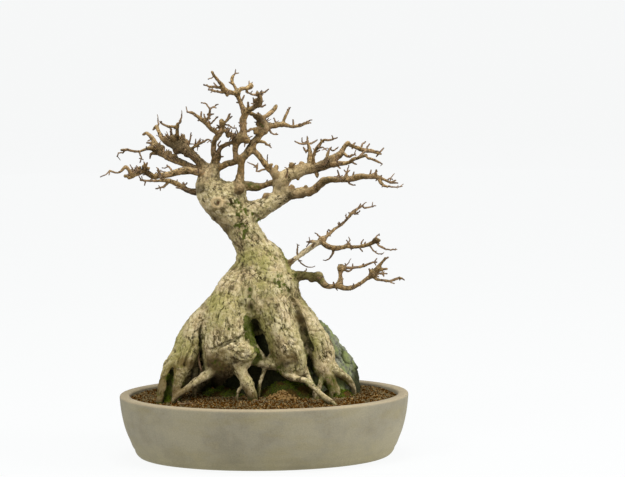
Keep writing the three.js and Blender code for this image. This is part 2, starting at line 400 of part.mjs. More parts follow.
// Short shoots all round the limbs, set by a rule: one every so many mm, turned forwards and
// backwards in turn, each rising a little.
const shootingLimbs = [
  'shadedLimb', 'tanLimb', 'darkLimb', 'darkTip', 'highLimb', 'frontLimb', 'frontSide', 'slimLimb',
  'archLimb',
  'archArm', 'topStem', 'topLeft', 'upperRight', 'upperTip', 'upperLow', 'splitTwig', 'lowerRight',
  'innerLimb',
  'straightLimb', 'straightUpper', 'straightLower', 'greenLimb', 'greenArm', 'rearLeft', 'rearRight',
];
const SHOOT_SPACING = 30;
const SHOOT_LENGTH = 15;
const SHOOT_EXTRA = 24;
const SHOOT_RADIUS = 1.4;

// Nearest point of a limb's middle to a point of the front view, with its depth and radius.
function nearestOn(path, x, z) {
  let best = { gap: Infinity };
  for (let i = 0; i + 1 < path.length; i += 1) {
    const [x0, z0, r0, d0] = path[i];
    const [x1, z1, r1, d1] = path[i + 1];
    const length2 = (x1 - x0) ** 2 + (z1 - z0) ** 2;
    const part = THREE.MathUtils.clamp(((x - x0) * (x1 - x0) + (z - z0) * (z1 - z0)) / length2, 0, 1);
    const px = x0 + (x1 - x0) * part;
    const pz = z0 + (z1 - z0) * part;
    const gap = Math.hypot(x - px, z - pz);
    if (gap < best.gap) {
      best = { gap, x: px, z: pz, radius: r0 + (r1 - r0) * part, depth: d0 + (d1 - d0) * part };
    }
  }
  return best;
}

// Gives a limb's points their depth, from the limb it grows on to its own tip.
function withDepth(limb, grown) {
  const [x, z, radius] = limb.path[0];
  const foot = nearestOn(grown[limb.on], x, z);
  const path = [[foot.x, foot.z, Math.min(radius * 1.15, foot.radius * 0.95)], ...limb.path];
  let run = 0;
  const runs = path.map(([px, pz], i) => {
    run += i === 0 ? 0 : Math.hypot(px - path[i - 1][0], pz - path[i - 1][1]);
    return run;
  });
  return path.map(([px, pz, pr], i) => [px, pz, pr, foot.depth + (limb.lean * runs[i]) / run]);
}

function toPoints(path) {
  return thinned(path.map(([x, z, radius, depth]) => ({ place: sightPoint(x, z, depth), radius })));
}

// Shoots of one limb: each starts on the limb's middle and runs sideways from it. The limb's last
// stretch has none.
function shootsOf(path) {
  const points = toPoints(path);
  const shoots = [];
  let wanted = SHOOT_SPACING * (0.6 + 0.6 * random());
  let run = 0;
  let turn = random() < 0.5 ? 1 : -1;
  for (let i = 0; i + 2 < points.length; i += 1) {
    const from = points[i];
    const to = points[i + 1];
    const length = from.place.distanceTo(to.place);
    while (run + length > wanted) {
      const part = (wanted - run) / length;
      const foot = from.place.clone().lerp(to.place, part);
      const thick = from.radius + (to.radius - from.radius) * part;
      const ahead = to.place.clone().sub(from.place).normalize();
      const away = new THREE.Vector3(0.4 * random() - 0.2, turn, 0.3 * random());
      away.addScaledVector(ahead, 0.25 - away.dot(ahead)).normalize();
      const reach = thick + SHOOT_LENGTH + SHOOT_EXTRA * random() ** 2;
      const radius = Math.min(SHOOT_RADIUS * (0.8 + 0.5 * random()), thick * 0.7);
      const bend = new THREE.Vector3(random() - 0.5, random() - 0.5, random()).multiplyScalar(0.2 * reach);
      const knee = foot.clone().addScaledVector(away, reach * 0.55);
      const tip = foot.clone().addScaledVector(away, reach).add(bend);
      shoots.push(thinned([
        { place: foot, radius: radius * 1.5 },
        { place: knee, radius },
        { place: tip, radius: radius * 0.65 },
      ]));
      wanted += SHOOT_SPACING * (0.6 + 0.8 * random());
      turn = -turn;
    }
    run += length;
  }
  return shoots;
}

// Tree: every stem is joined to the one it grows from, in one body.
function makeTree() {
  const grown = { ...trunkAndRoots };
  const stems = Object.values(trunkAndRoots).map((path) => toPoints(path));
  for (const limb of limbs) {
    const path = withDepth(limb, grown);
    if (limb.name) {
      grown[limb.name] = path;
    }
    stems.push(toPoints(path));
  }
  for (const name of shootingLimbs) {
    stems.push(...shootsOf(grown[name]));
  }
  const solids = stems.map((points) => stem(points, sidesFor(points)));
  return largestBody(wasm.Manifold.union(solids).simplify(FINEST));
}

function rootTool() {
  const solids = Object.values(trunkAndRoots).map((path) => {
    const points = toPoints(path);
    return stem(points, sidesFor(points), ROOT_GAP);
  });
  return wasm.Manifold.union(solids);
}

// Rock: a boulder bounded by flat faces, each given by the way it faces and its distance from
// the boulder's middle.
const rockMiddle = new THREE.Vector3(45, 28, 136);
const rockFaces = [
  [0.78, 0, 0.62, 102], [1, 0.1, -0.12, 121], [0.1, 0, 1, 100], [-0.6, 0, 0.75, 92], [-1, 0, 0.1, 118],
  [0, 0, -1, 76], [0, -1, 0.12, 50], [0.05, 1, 0.14, 64], [0.62, -0.74, 0.25, 88], [0.66, 0.7, 0.28, 100],
  [-0.6, -0.72, 0.3, 84], [-0.62, 0.7, 0.3, 88], [0.86, -0.36, 0.36, 107], [0.34, -0.76, 0.55, 78],
  [0.24, 0.74, 0.62, 84], [0.9, 0.42, 0.2, 117],
];

function makeRock(clearance) {
  const boulder = new THREE.IcosahedronGeometry(1, 4);
  const position = boulder.attributes.position;
  for (let i = 0; i < position.count; i += 1) {
    const ray = new THREE.Vector3().fromBufferAttribute(position, i).normalize();
    let reach = Infinity;
    for (const [x, y, z, distance] of rockFaces) {
      const facing = new THREE.Vector3(x, y, z).normalize().dot(ray);
      if (facing > 0.05) {
        reach = Math.min(reach, (distance + clearance) / facing);
      }
    }
    ray.multiplyScalar(reach).add(rockMiddle);
    position.setXYZ(i, ray.x, ray.y, ray.z);
  }
  return toSolid(boulder);
}

// Oval shapes: a turned profile of [half length, height] pairs, whose sections are ovals. The
// pot's half width is always less than its half length by the same amount, but narrows to
// nothing with it near the middle.
const NARROWER = (POT_LENGTH - POT_WIDTH) / 2;
const CORE = 180;

function halfWidth(halfLength) {
  return halfLength > CORE ? halfLength - NARROWER : (halfLength * (CORE - NARROWER)) / CORE;
}

function ovalSolid(profile, height = (x, y, z) => z) {
  const turned = new THREE.LatheGeometry(profile.map(([length, z]) => new THREE.Vector2(length, z)), 44);
  const position = turned.attributes.position;
  for (let i = 0; i < position.count; i += 1) {
    const length = Math.hypot(position.getX(i), position.getZ(i));
    const angle = Math.atan2(-position.getZ(i), position.getX(i));
    const x = length * Math.cos(angle);
    const y = halfWidth(length) * Math.sin(angle);
    position.setXYZ(i, x, y, height(x, y, position.getY(i)));
  }
  return toSolid(turned);
}

// Inner wall of the pot, from the floor's edge up to the lip.
const lipInside = POT_LENGTH / 2 - LIP_WIDTH;
const innerWall = [
  [lipInside - 40, FLOOR_THICKNESS + FLOOR_RISE], [lipInside - 25, FLOOR_THICKNESS + 5],
  [lipInside - 15, POT_HEIGHT * 0.29], [lipInside - 5, POT_HEIGHT * 0.55],
    [lipInside - 1, POT_HEIGHT * 0.84],
];
const soilEdge = POT_HEIGHT - SOIL_BELOW_RIM;

function drainPlaces() {
  return [-DRAIN_SPACING / 2, DRAIN_SPACING / 2];
}

// Box of a given size with its middle at a given place.
function block(size, middle) {
  const box = new THREE.BoxGeometry(...size);
  box.translate(...middle);
  return toSolid(box);
}

// Pot: one thrown and trimmed bowl with a low foot, two drainage holes, and a shallow channel
// from each hole to the back edge of its underside.
function makePot() {
  const half = POT_LENGTH / 2;
  const outside = [
    [0, 0], [half - 44, 0], [half - 36, 1.6], [half - 29.5, 5.4], [half - 25.5, 11], [half - 24, 16],
    [half - 21.5, 20], [half - 16.5, POT_HEIGHT * 0.29], [half - 11, POT_HEIGHT * 0.42],
    [half - 6.8, POT_HEIGHT * 0.55], [half - 3.5, POT_HEIGHT * 0.69], [half - 1.4, POT_HEIGHT * 0.84],
    [half, POT_HEIGHT - 3], [half - 1.8, POT_HEIGHT],
  ];
  const inside = [
    [lipInside + 1.5, POT_HEIGHT], [lipInside, POT_HEIGHT - 1.5], ...innerWall.slice().reverse(),
    [0, FLOOR_THICKNESS],
  ];
  let pot = ovalSolid([...outside, ...inside]);
  for (const x of drainPlaces()) {
    const hole = new THREE.CylinderGeometry(DRAIN_DIAMETER / 2, DRAIN_DIAMETER / 2, 4 * FLOOR_THICKNESS, 20);
    hole.rotateX(Math.PI / 2);
    hole.translate(x, 0, 0);
    const channel = block([CHANNEL_WIDTH, POT_WIDTH / 2, 2 * CHANNEL_DEPTH], [x, POT_WIDTH / 4, 0]);
    pot = pot.subtract(toSolid(hole)).subtract(channel);
  }
  return pot;
}

// Drain screen: a plate of moulded mesh, with square holes in rows.
function makeScreen(x) {
  const level = FLOOR_THICKNESS + FLOOR_RISE + GAP + SCREEN_THICKNESS / 2;
  const pitch = (SCREEN_SIZE - 2 * SCREEN_BAR) / SCREEN_ROWS;
  const hole = pitch - SCREEN_BAR;
  let screen = block([SCREEN_SIZE, SCREEN_SIZE, SCREEN_THICKNESS], [x, 0, level]);
  for (let i = 0; i < SCREEN_ROWS * SCREEN_ROWS; i += 1) {
    const across = pitch * ((i % SCREEN_ROWS) + 0.5 - SCREEN_ROWS / 2);
    const along = pitch * (Math.floor(i / SCREEN_ROWS) + 0.5 - SCREEN_ROWS / 2);
    screen = screen.subtract(block([hole, hole, 2 * SCREEN_THICKNESS], [x + across, along, level]));
  }
  return screen;
}

// Soil: a bed that fits the pot's inside, mounded round the foot of the tree.
function soilTop(x, y) {
  const mound = MOUND_HEIGHT * Math.exp(-((x / 165) ** 2) - ((y / 85) ** 2));
  const roll = 1.6 * Math.sin(x / 31 + y / 47) * Math.cos(y / 29 - x / 71);
  return soilEdge + mound + roll;
}

function makeSoil(roots, rock) {
  const edge = lipInside - 1 - 2 * GAP;
  const bed = [
    [0, FLOOR_THICKNESS + FLOOR_RISE + GAP],
    ...innerWall.map(([length, z]) => [length - 2 * GAP, z + GAP]),
    [edge, soilEdge - 1],
    ...[0.95, 0.84, 0.7, 0.56, 0.4, 0.22].map((part) => [edge * part, soilEdge]),
    [0, soilEdge],
  ];
  const rimZone = edge * 0.985;
  let soil = ovalSolid(bed, (x, y, z) => (z >= soilEdge && Math.abs(x) < rimZone ? soilTop(x, y) : z));
  for (const x of drainPlaces()) {
    const size = SCREEN_SIZE + 2 * GAP;
    const depth = 2 * (SCREEN_THICKNESS + GAP);
    soil = soil.subtract(block([size, size, depth], [x, 0, FLOOR_THICKNESS + FLOOR_RISE + GAP]));
  }
  return largestBody(soil.subtract(roots).subtract(rock));
}

// The object
function piece(name, solid, color, roughness, metalness = 0) {
  const material = new THREE.MeshStandardMaterial({ color, roughness, metalness });
  const mesh = new THREE.Mesh(toGeometry(solid), material);
  mesh.name = name;
  return mesh;
}

const roots = rootTool();
const bonsai = new THREE.Group();
bonsai.add(piece('pot', makePot(), 0xa19a82, 0.85));
bonsai.add(piece('left_drain_screen', makeScreen(-DRAIN_SPACING / 2), 0x2b2b2b, 0.6));
bonsai.add(piece('right_drain_screen', makeScreen(DRAIN_SPACING / 2), 0x2b2b2b, 0.6));
bonsai.add(piece('soil', makeSoil(roots, makeRock(ROOT_GAP)), 0x6a4b2b, 0.95));
bonsai.add(piece('rock', largestBody(makeRock(0).subtract(roots)), 0x8a8966, 0.9));
bonsai.add(piece('tree', makeTree(), 0x9c8d66, 0.85));

export default bonsai;
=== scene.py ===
import bpy
import numpy as np
from mathutils import Matrix, Vector


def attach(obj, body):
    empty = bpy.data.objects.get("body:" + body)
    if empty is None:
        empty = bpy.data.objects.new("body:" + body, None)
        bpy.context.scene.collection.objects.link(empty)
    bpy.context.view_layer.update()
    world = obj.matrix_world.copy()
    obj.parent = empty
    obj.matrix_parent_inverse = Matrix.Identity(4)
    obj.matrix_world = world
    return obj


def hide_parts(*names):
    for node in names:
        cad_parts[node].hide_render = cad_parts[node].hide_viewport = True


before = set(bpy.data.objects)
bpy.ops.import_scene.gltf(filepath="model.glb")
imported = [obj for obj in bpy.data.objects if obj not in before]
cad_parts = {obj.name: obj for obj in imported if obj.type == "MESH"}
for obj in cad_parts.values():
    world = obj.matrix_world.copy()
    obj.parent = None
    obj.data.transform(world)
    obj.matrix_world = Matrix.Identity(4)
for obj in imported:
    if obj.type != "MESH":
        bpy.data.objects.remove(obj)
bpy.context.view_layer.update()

# Pot
# A shallow oval pot of unglazed stoneware, pressed in a mould, trimmed and fired once. The lip is
# flat and about a thumb wide, and the foot is a low rounded band with a slight hollow above it.
POT_LENGTH = 500.0
POT_WIDTH = 372.0
POT_HEIGHT = 110.0
LIP_WIDTH = 18.0
FLOOR_THICKNESS = 14.0
DRAIN_DIAMETER = 32.0
DRAIN_PLACE = 110.0
CHANNEL = (12.0, 3.0)
OVAL_CORE = 180.0
# Sizes here are in mm, and a millimetre is this many of Blender's metres
MM = 0.001


def linear(code):
    """Linear colour of an sRGB hex code such as "8a7b5c"."""
    parts = [int(code[i:i + 2], 16) / 255 for i in (0, 2, 4)]
    return [c / 12.92 if c <= 0.04045 else ((c + 0.055) / 1.055) ** 2.4 for c in parts] + [1.0]


def add(tree, kind, values=(), links=(), stops=(), output=0, **properties):
    """A node of that kind in a material: its properties, the values of its sockets, the outputs linked
    into them, and the places and hex colours of its ramp. Gives its output of that name or number."""
    made = tree.nodes.new("ShaderNode" + kind)
    for name, value in properties.items():
        setattr(made, name, value)
    for socket, value in dict(values).items():
        made.inputs[socket].default_value = value
    for socket, source in dict(links).items():
        tree.links.new(source, made.inputs[socket])
    for i, (place, code) in enumerate(stops):
        if i > 1:
            made.color_ramp.elements.new(place)
        made.color_ramp.elements[i].position = place
        made.color_ramp.elements[i].color = linear(code)
    return made.outputs[output] if len(made.outputs) else None


def stained(tree, colour, stains_and_shade):
    """Flat colours laid over a colour, one after the other: stains, and in places painted shade or
    highlight. Each layer is a hex code, the mark that it follows, the mark's values where it starts and
    where it is full, and how far it then covers."""
    for code, mark, start, full, share in stains_and_shade:
        mask = add(tree, "MapRange", {"From Min": start, "From Max": full, "To Max": share}, {"Value": mark})
        colour = add(tree, "Mix", {7: linear(code)}, {0: mask, 6: colour}, output=2, data_type="RGBA")
    return colour


def new_material(name):
    """An empty material and its node tree."""
    material = bpy.data.materials.new(name)
    material.use_nodes = True
    material.node_tree.nodes.clear()
    return material, material.node_tree


def lattice(cells, seed):
    """A number from 0 to 1 for each cell of an endless grid, mixed from its three whole numbers."""
    x, y, z = (cells[..., i].astype(np.int64) for i in range(3))
    mixed = (x * 374761393 + y * 668265263 + z * 1440662683 + seed * 974634777) & 0xFFFFFFFF
    mixed = ((mixed ^ (mixed >> 13)) * 1274126177) & 0xFFFFFFFF
    return ((mixed ^ (mixed >> 16)) & 0xFFFFFF) / 0xFFFFFF


def noise(points, size, seed):
    """Soft hills from -1 to 1: a random number at each corner of cells of that size, blended
    between the corners by 3t^2 - 2t^3 along each axis."""
    places = points / size
    cells = np.floor(places).astype(np.int64)
    part = places - cells
    part = part * part * (3 - 2 * part)
    total = np.zeros(points.shape[:-1])
    for corner in np.ndindex(2, 2, 2):
        weight = np.prod(np.where(corner, part, 1 - part), axis=-1)
        total += weight * lattice(cells + corner, seed)
    return 2 * total - 1


def run_along(path):
    """How far along a path each of its points lies."""
    return np.concatenate([[0], np.cumsum(np.linalg.norm(np.diff(path[:, :3], axis=0), axis=1))])


def curve(points, step):
    """A smooth curve through points of three places and more columns: between two points it is the
    cubic that has at each end the slope from neighbour to neighbour. It is cut every step mm."""
    points = np.asarray(points, float)
    apart = np.linalg.norm(np.diff(points[:, :3], axis=0), axis=1) > 1e-4
    points = points[np.concatenate([[True], apart])]
    run = run_along(points)
    slope = np.gradient(points, run, axis=0)
    wanted = np.linspace(0, run[-1], max(3, int(run[-1] / step) + 2))
    i = np.clip(np.searchsorted(run, wanted, side="right") - 1, 0, len(run) - 2)
    length = (run[i + 1] - run[i])[:, None]
    t = (wanted - run[i])[:, None] / length
    return (
        (1 + 2 * t) * (1 - t) ** 2 * points[i] + t * (1 - t) ** 2 * length * slope[i]
        + t ** 2 * (3 - 2 * t) * points[i + 1] - t ** 2 * (1 - t) * length * slope[i + 1]
    )


def ring_faces(rows, columns, shapes=1):
    """Corner numbers for closed shapes, each of rows of points in rings, then a point at the first
    end and one at the last: four-cornered faces between rings, three-cornered ones at the ends."""
    row, column = np.meshgrid(np.arange(rows - 1), np.arange(columns), indexing="ij")
    here = row * columns + column
    aside = row * columns + (column + 1) % columns
    quads = np.stack([here, aside, aside + columns, here + columns], -1).reshape(-1, 4)
    first = np.arange(columns)
    second = (first + 1) % columns
    last = (rows - 1) * columns
    start = np.stack([np.full(columns, rows * columns), second, first], -1)
    end = np.stack([np.full(columns, rows * columns + 1), last + first, last + second], -1)
    shift = (np.arange(shapes) * (rows * columns + 2))[:, None, None]
    return [(quads + shift).reshape(-1, 4), (np.vstack([start, end]) + shift).reshape(-1, 3)]


def new_piece(name, points, faces, material, replaced, smooth=True, marks=()):
    """An object of the tree in its pot, from points in mm and lists of corner numbers. Faces that
    enclose less than nothing are turned over. Marks are values kept at each point."""
    triangles = np.vstack([f[:, [0, i, i + 1]] for f in faces for i in range(1, f.shape[1] - 1)])
    a, b, c = (points[triangles[:, i]] for i in range(3))
    if np.einsum("ij,ij->", a, np.cross(b, c)) < 0:
        faces = [f[:, ::-1] for f in faces]
    corners = np.concatenate([f.ravel() for f in faces])
    sizes = np.concatenate([np.full(len(f), f.shape[1]) for f in faces])
    mesh = bpy.data.meshes.new(name)
    mesh.vertices.add(len(points))
    mesh.vertices.foreach_set("co", (points * MM).ravel())
    mesh.loops.add(len(corners))
    mesh.loops.foreach_set("vertex_index", corners.astype(np.int32))
    mesh.polygons.add(len(sizes))
    mesh.polygons.foreach_set("loop_start", np.concatenate([[0], np.cumsum(sizes)[:-1]]).astype(np.int32))
    mesh.polygons.foreach_set("loop_total", sizes.astype(np.int32))
    mesh.update(calc_edges=True)
    if smooth:
        mesh.shade_smooth()
    for mark, values in dict(marks).items():
        kind = "FLOAT" if values.ndim == 1 else "FLOAT_VECTOR"
        layer = mesh.attributes.new(mark, kind, "POINT")
        layer.data.foreach_set("value" if values.ndim == 1 else "vector", values.astype(np.float32).ravel())
    mesh.materials.append(material)
    made = bpy.data.objects.new(name, mesh)
    bpy.context.scene.collection.objects.link(made)
    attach(made, "root")
    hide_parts(*replaced)
    return made


def half_width(half_length):
    """The oval's half width: always less than its half length by the same amount, and shrinking in
    proportion to it near the middle."""
    narrower = (POT_LENGTH - POT_WIDTH) / 2
    inner = half_length * (OVAL_CORE - narrower) / OVAL_CORE
    return np.where(half_length > OVAL_CORE, half_length - narrower, inner)


def oval(profile, columns):
    """Rings of points round the pot's middle: each [half length, height] pair of the profile is
    carried round an oval, and the two ends are closed by a point on the axis."""
    angle = np.linspace(0, 2 * np.pi, columns, endpoint=False)
    length, height = profile[:, :1], np.repeat(profile[:, 1:2], columns, axis=1)
    rings = np.stack([length * np.cos(angle), half_width(length) * np.sin(angle), height], -1)
    return np.vstack([rings.reshape(-1, 3), [0, 0, profile[0, 1]], [0, 0, profile[-1, 1]]])


def profile_curve(pairs, step):
    """The smooth curve through [half length, height] pairs."""
    places = np.column_stack([pairs, np.zeros(len(pairs))])
    return curve(places, step)[:, :2]


half = POT_LENGTH / 2
lip_inside = half - LIP_WIDTH
underside = np.array([[6.0, 0], [half - 60, 0], [half - 46, 0]])
outer_wall = profile_curve([
    [half - 44, 0], [half - 36, 1.6], [half - 29.5, 5.4], [half - 25.6, 11], [half - 23.9, 16],
    [half - 21.2, 20.5], [half - 16.5, 32], [half - 11, 46], [half - 6.8, 60.5], [half - 3.5, 76],
    [half - 1.2, 92], [half - 0.2, 103],
], 2.4)
lip = np.array([
    [half, 105.5], [half - 0.1, 107.4], [half - 0.6, 108.8], [half - 1.6, 109.7], [half - 3.2, 110],
    [half - 9, 110], [lip_inside + 4, 110], [lip_inside + 2, 109.6], [lip_inside + 0.7, 108.6], [lip_inside, 107],
])
inner_wall = profile_curve([
    [lip_inside - 0.2, 103], [lip_inside - 1, 92], [lip_inside - 5, 60.5], [lip_inside - 15, 32],
    [lip_inside - 25, 19], [lip_inside - 40, 14.6],
], 6.0)
inner_floor = [[120, FLOOR_THICKNESS], [6, FLOOR_THICKNESS]]
pot_profile = np.vstack([underside, outer_wall, lip, inner_wall, inner_floor])
POT_COLUMNS = 256
pot_points = oval(pot_profile, POT_COLUMNS)
# Pressed clay is never quite true: the wall is off by up to half a millimetre over a hand's width.
wall = (pot_points[:, 2:3] > 4) & (np.linalg.norm(pot_points[:, :2], axis=1) > 100)[:, None]
outwards = pot_points * [1, 1, 0] / np.maximum(np.linalg.norm(pot_points[:, :2], axis=1), 1)[:, None]
pot_points -= wall * outwards * (0.35 + 0.35 * noise(pot_points, np.array([70.0, 70.0, 30.0]), 3))[:, None]

# Stoneware: grey-brown clay fired without glaze, so it is matt, with cloudy iron-stained patches, a
# yellower cast low down, and a paler flat top to the lip: a painted highlight where the light falls.
stoneware, tree = new_material("unglazed_stoneware")
place = add(tree, "TexCoord", output="Object")
clouds = add(tree, "TexNoise", {"Scale": 1000 / 85, "Detail": 4.0, "Roughness": 0.62}, {"Vector": place})
clay = add(tree, "ValToRGB", links={"Fac": clouds},
           stops=[(0.32, "7c7663"), (0.7, "978e73"), (0.45, "86806c"), (0.57, "8f8870")])
lying = add(tree, "Mapping", {"Scale": (1.0, 1.0, 3.0)}, {"Vector": place})
iron = add(tree, "TexNoise", {"Scale": 1000 / 70, "Detail": 5.0, "Roughness": 0.6}, {"Vector": lying})
metres_up = add(tree, "SeparateXYZ", links={0: place}, output="Z")
stained_and_lip_highlit = stained(tree, clay, [
    ("857a52", iron, 0.5, 0.72, 0.45), ("80774b", metres_up, 0.05, 0.004, 0.38),
    # Painted highlight: the lip's flat top is made paler.
    ("9f8f72", metres_up, 0.106, 0.1085, 0.6),
])
sand = add(tree, "TexNoise", {"Scale": 1000 / 2.2, "Detail": 3.0, "Roughness": 0.7}, {"Vector": place})
speckled = add(tree, "MapRange", {"From Min": 0.3, "From Max": 0.7, "To Min": 0.86, "To Max": 1.1},
               {"Value": sand})
clay_colour = add(tree, "VectorMath", links={0: stained_and_lip_highlit, 1: speckled}, operation="MULTIPLY")
grit_bump = add(tree, "Bump", {"Strength": 0.35, "Distance": 0.0006}, {"Height": sand})
shader = add(tree, "BsdfPrincipled", {"Roughness": 0.82, "IOR": 1.5},
             {"Base Color": clay_colour, "Normal": grit_bump})
add(tree, "OutputMaterial", links={"Surface": shader})

pot = new_piece("stoneware_pot", pot_points, ring_faces(len(pot_profile), POT_COLUMNS), stoneware, ["pot"])


def cut(piece, cutters):
    """Takes the cutters, shapes of their own, out of a piece's mesh, and clears them away."""
    for cutter in cutters:
        tool = piece.modifiers.new("cut", "BOOLEAN")
        tool.object = cutter
        tool.solver = "EXACT"
    bpy.context.view_layer.update()
    done = bpy.data.meshes.new_from_object(piece.evaluated_get(bpy.context.evaluated_depsgraph_get()))
    piece.modifiers.clear()
    piece.data = done
    for cutter in cutters:
        bpy.data.objects.remove(cutter)


cutters = []
for side in (-1, 1):
    hole = side * DRAIN_PLACE * MM
    bpy.ops.mesh.primitive_cylinder_add(vertices=48, radius=DRAIN_DIAMETER / 2 * MM, depth=60 * MM,
                                        location=(hole, 0, 0))
    cutters.append(bpy.context.object)
    bpy.ops.mesh.primitive_cube_add(size=1, location=(hole, POT_WIDTH / 4 * MM, 0))
    bpy.context.object.scale = (CHANNEL[0] * MM, POT_WIDTH / 2 * MM, 2 * CHANNEL[1] * MM)
    cutters.append(bpy.context.object)
cut(pot, cutters)

# Drain screens
# Two squares of black polythene mesh, injection moulded, laid loose over the pot's drainage holes
# before the soil goes in. The solids of the part already have their shape, so they only get a finish.
polythene, tree = new_material("black_polythene")
shader = add(tree, "BsdfPrincipled", {"Base Color": linear("1f201f"), "Roughness": 0.5, "IOR": 1.5})
add(tree, "OutputMaterial", links={"Surface": shader})
for name in ("left_drain_screen", "right_drain_screen"):
    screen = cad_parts[name]
    screen.data.materials.clear()
    screen.data.materials.append(polythene)

# Soil
# Baked akadama, a crumbly brown clay grit sold in grains of 2 to 5 mm, watered and worn to a dark
# bed with a mound at the roots. The grains on top lie loose, and a heap of paler, coarser ones is
# tucked under the trunk.
SOIL_EDGE = 103.0
MOUND_HEIGHT = 10.0
MOUND_REACH = (165, 85)
HEAP_HEIGHT = 11.0
SOIL_GAP = 1.6
GRAIN_SPACING = 3.75
PALE_HEAP = np.array([32.0, -46.0, 26.0])


def soil_top(x, y):
    """Height of the soil: the level bed, a mound that falls off as a bell curve, and low waves."""
    mound = MOUND_HEIGHT * np.exp(-((x / MOUND_REACH[0]) ** 2) - (y / MOUND_REACH[1]) ** 2)
    heap = HEAP_HEIGHT * np.exp(-((x - PALE_HEAP[0]) ** 2 + (y - PALE_HEAP[1]) ** 2) / (0.6 * PALE_HEAP[2]) ** 2)
    return SOIL_EDGE + mound + heap + 1.6 * np.sin(x / 31 + y / 47) * np.cos(y / 29 - x / 71)


soil_inside = lip_inside - SOIL_GAP
bed_ring = np.concatenate([np.linspace(4, soil_inside * 0.97, 104), soil_inside * np.linspace(0.98, 1.0, 3)])
bed_profile = np.vstack([
    [[6, 15.2], [120, 15.2], [lip_inside - 42, 15.8], [lip_inside - 26, 20.2], [lip_inside - 16, 33],
     [lip_inside - 6, 61]],
    np.column_stack([bed_ring, np.full(len(bed_ring), SOIL_EDGE)])[::-1],
])
BED_COLUMNS = 360
bed_points = oval(bed_profile, BED_COLUMNS)
on_top = bed_points[:, 2] > SOIL_EDGE - 0.5
crumbs = 0.9 * noise(bed_points, 5.0, 11) + 0.6 * noise(bed_points, 2.6, 12)
bed_points[:, 2] += on_top * (soil_top(bed_points[:, 0], bed_points[:, 1]) - SOIL_EDGE + crumbs - 1.0)

# Damp akadama: red-brown clay that takes up water, so it is dark and quite matt, and dries paler at
# its edges and high spots.
akadama, tree = new_material("damp_akadama_grit")
place = add(tree, "TexCoord", output="Object")
tone = add(tree, "Attribute", output="Fac", attribute_name="tone")
patches = add(tree, "TexNoise", {"Scale": 1000 / 9, "Detail": 4.0, "Roughness": 0.65}, {"Vector": place})
mixed = add(tree, "Math", {1: 0.5}, {0: patches, 2: tone}, operation="MULTIPLY_ADD")
grit_colour = add(tree, "ValToRGB", links={"Fac": mixed}, stops=[
    (0.05, "1a0f02"), (1.0, "d4bf8c"), (0.32, "372306"), (0.52, "52340e"), (0.72, "93764a"),
])
pores = add(tree, "TexNoise", {"Scale": 1000 / 1.2, "Detail": 2.0}, {"Vector": place})
rough_grit = add(tree, "Bump", {"Strength": 0.6, "Distance": 0.0007}, {"Height": pores})
shader = add(tree, "BsdfPrincipled", {"Roughness": 0.95, "IOR": 1.45, "Specular IOR Level": 0.0},
             {"Base Color": grit_colour, "Normal": rough_grit})
add(tree, "OutputMaterial", links={"Surface": shader})

bed_tone = 0.16 + 0.14 * noise(bed_points, 14.0, 13) + 0.1 * noise(bed_points, 4.0, 14)
new_piece("soil_bed", bed_points, ring_faces(len(bed_profile), BED_COLUMNS), akadama, ["soil"],
          marks={"tone": bed_tone})


def scatter(random, spacing, edge):
    """Spots on the soil: one in each cell of a square grid of that spacing, moved at random inside
    its cell and kept where it lies inside the oval."""
    x, y = np.meshgrid(np.arange(-230, 230, spacing), np.arange(-168, 168, spacing), indexing="ij")
    spots = np.column_stack([x.ravel(), y.ravel()]) + random.uniform(0, spacing, (x.size, 2))
    inside = (spots[:, 0] / edge) ** 2 + (spots[:, 1] / float(half_width(edge))) ** 2 < 1
    return spots[inside]


def turned(random, count):
    """Random turns in space, one matrix each, from unit quaternions."""
    w, x, y, z = random.normal(size=(4, count))
    length = np.sqrt(w * w + x * x + y * y + z * z)
    w, x, y, z = w / length, x / length, y / length, z / length
    return np.stack([
        np.stack([1 - 2 * (y * y + z * z), 2 * (x * y - z * w), 2 * (x * z + y * w)], -1),
        np.stack([2 * (x * y + z * w), 1 - 2 * (x * x + z * z), 2 * (y * z - x * w)], -1),
        np.stack([2 * (x * z - y * w), 2 * (y * z + x * w), 1 - 2 * (x * x + y * y)], -1),
    ], 1)


def grains(random, centres, sizes):
    """Crumbs: each has two rings of four corners and a point at either end. It is stretched by its own
    three sizes, roughened at each corner and turned at random."""
    ring = np.array([[np.cos(a), np.sin(a)] for a in np.linspace(0, 2 * np.pi, 5)[:4]])
    low_ring = np.column_stack([ring * 0.9, np.full(4, -0.45)])
    high_ring = np.column_stack([ring @ [[0.707, 0.707], [-0.707, 0.707]] * 0.9, np.full(4, 0.45)])
    crumb = np.vstack([low_ring, high_ring, [0, 0, -1.0], [0, 0, 1.0]])
    shapes = crumb[None] * random.uniform(0.78, 1.25, (len(centres), len(crumb), 1))
    shapes = shapes * random.uniform(0.7, 1.15, (len(centres), 1, 3))
    shapes = np.einsum("nij,nkj->nki", turned(random, len(centres)), shapes) * sizes[:, None, None]
    return (shapes + centres[:, None]).reshape(-1, 3), ring_faces(2, 4, len(centres))


random = np.random.default_rng(7)
spots = scatter(random, GRAIN_SPACING, soil_inside - 3.0)
in_heap = np.exp(-((spots - PALE_HEAP[:2]) ** 2).sum(1) / PALE_HEAP[2] ** 2)
sizes = random.uniform(0.9, 1.9, len(spots)) * random.uniform(0.85, 1.3, len(spots))
sizes = sizes * (1 + 0.55 * (in_heap > 0.4))
height = soil_top(spots[:, 0], spots[:, 1]) + sizes * random.uniform(-0.5, 0.45, len(spots)) - 0.3
grain_points, grain_faces = grains(random, np.column_stack([spots, height]), sizes)
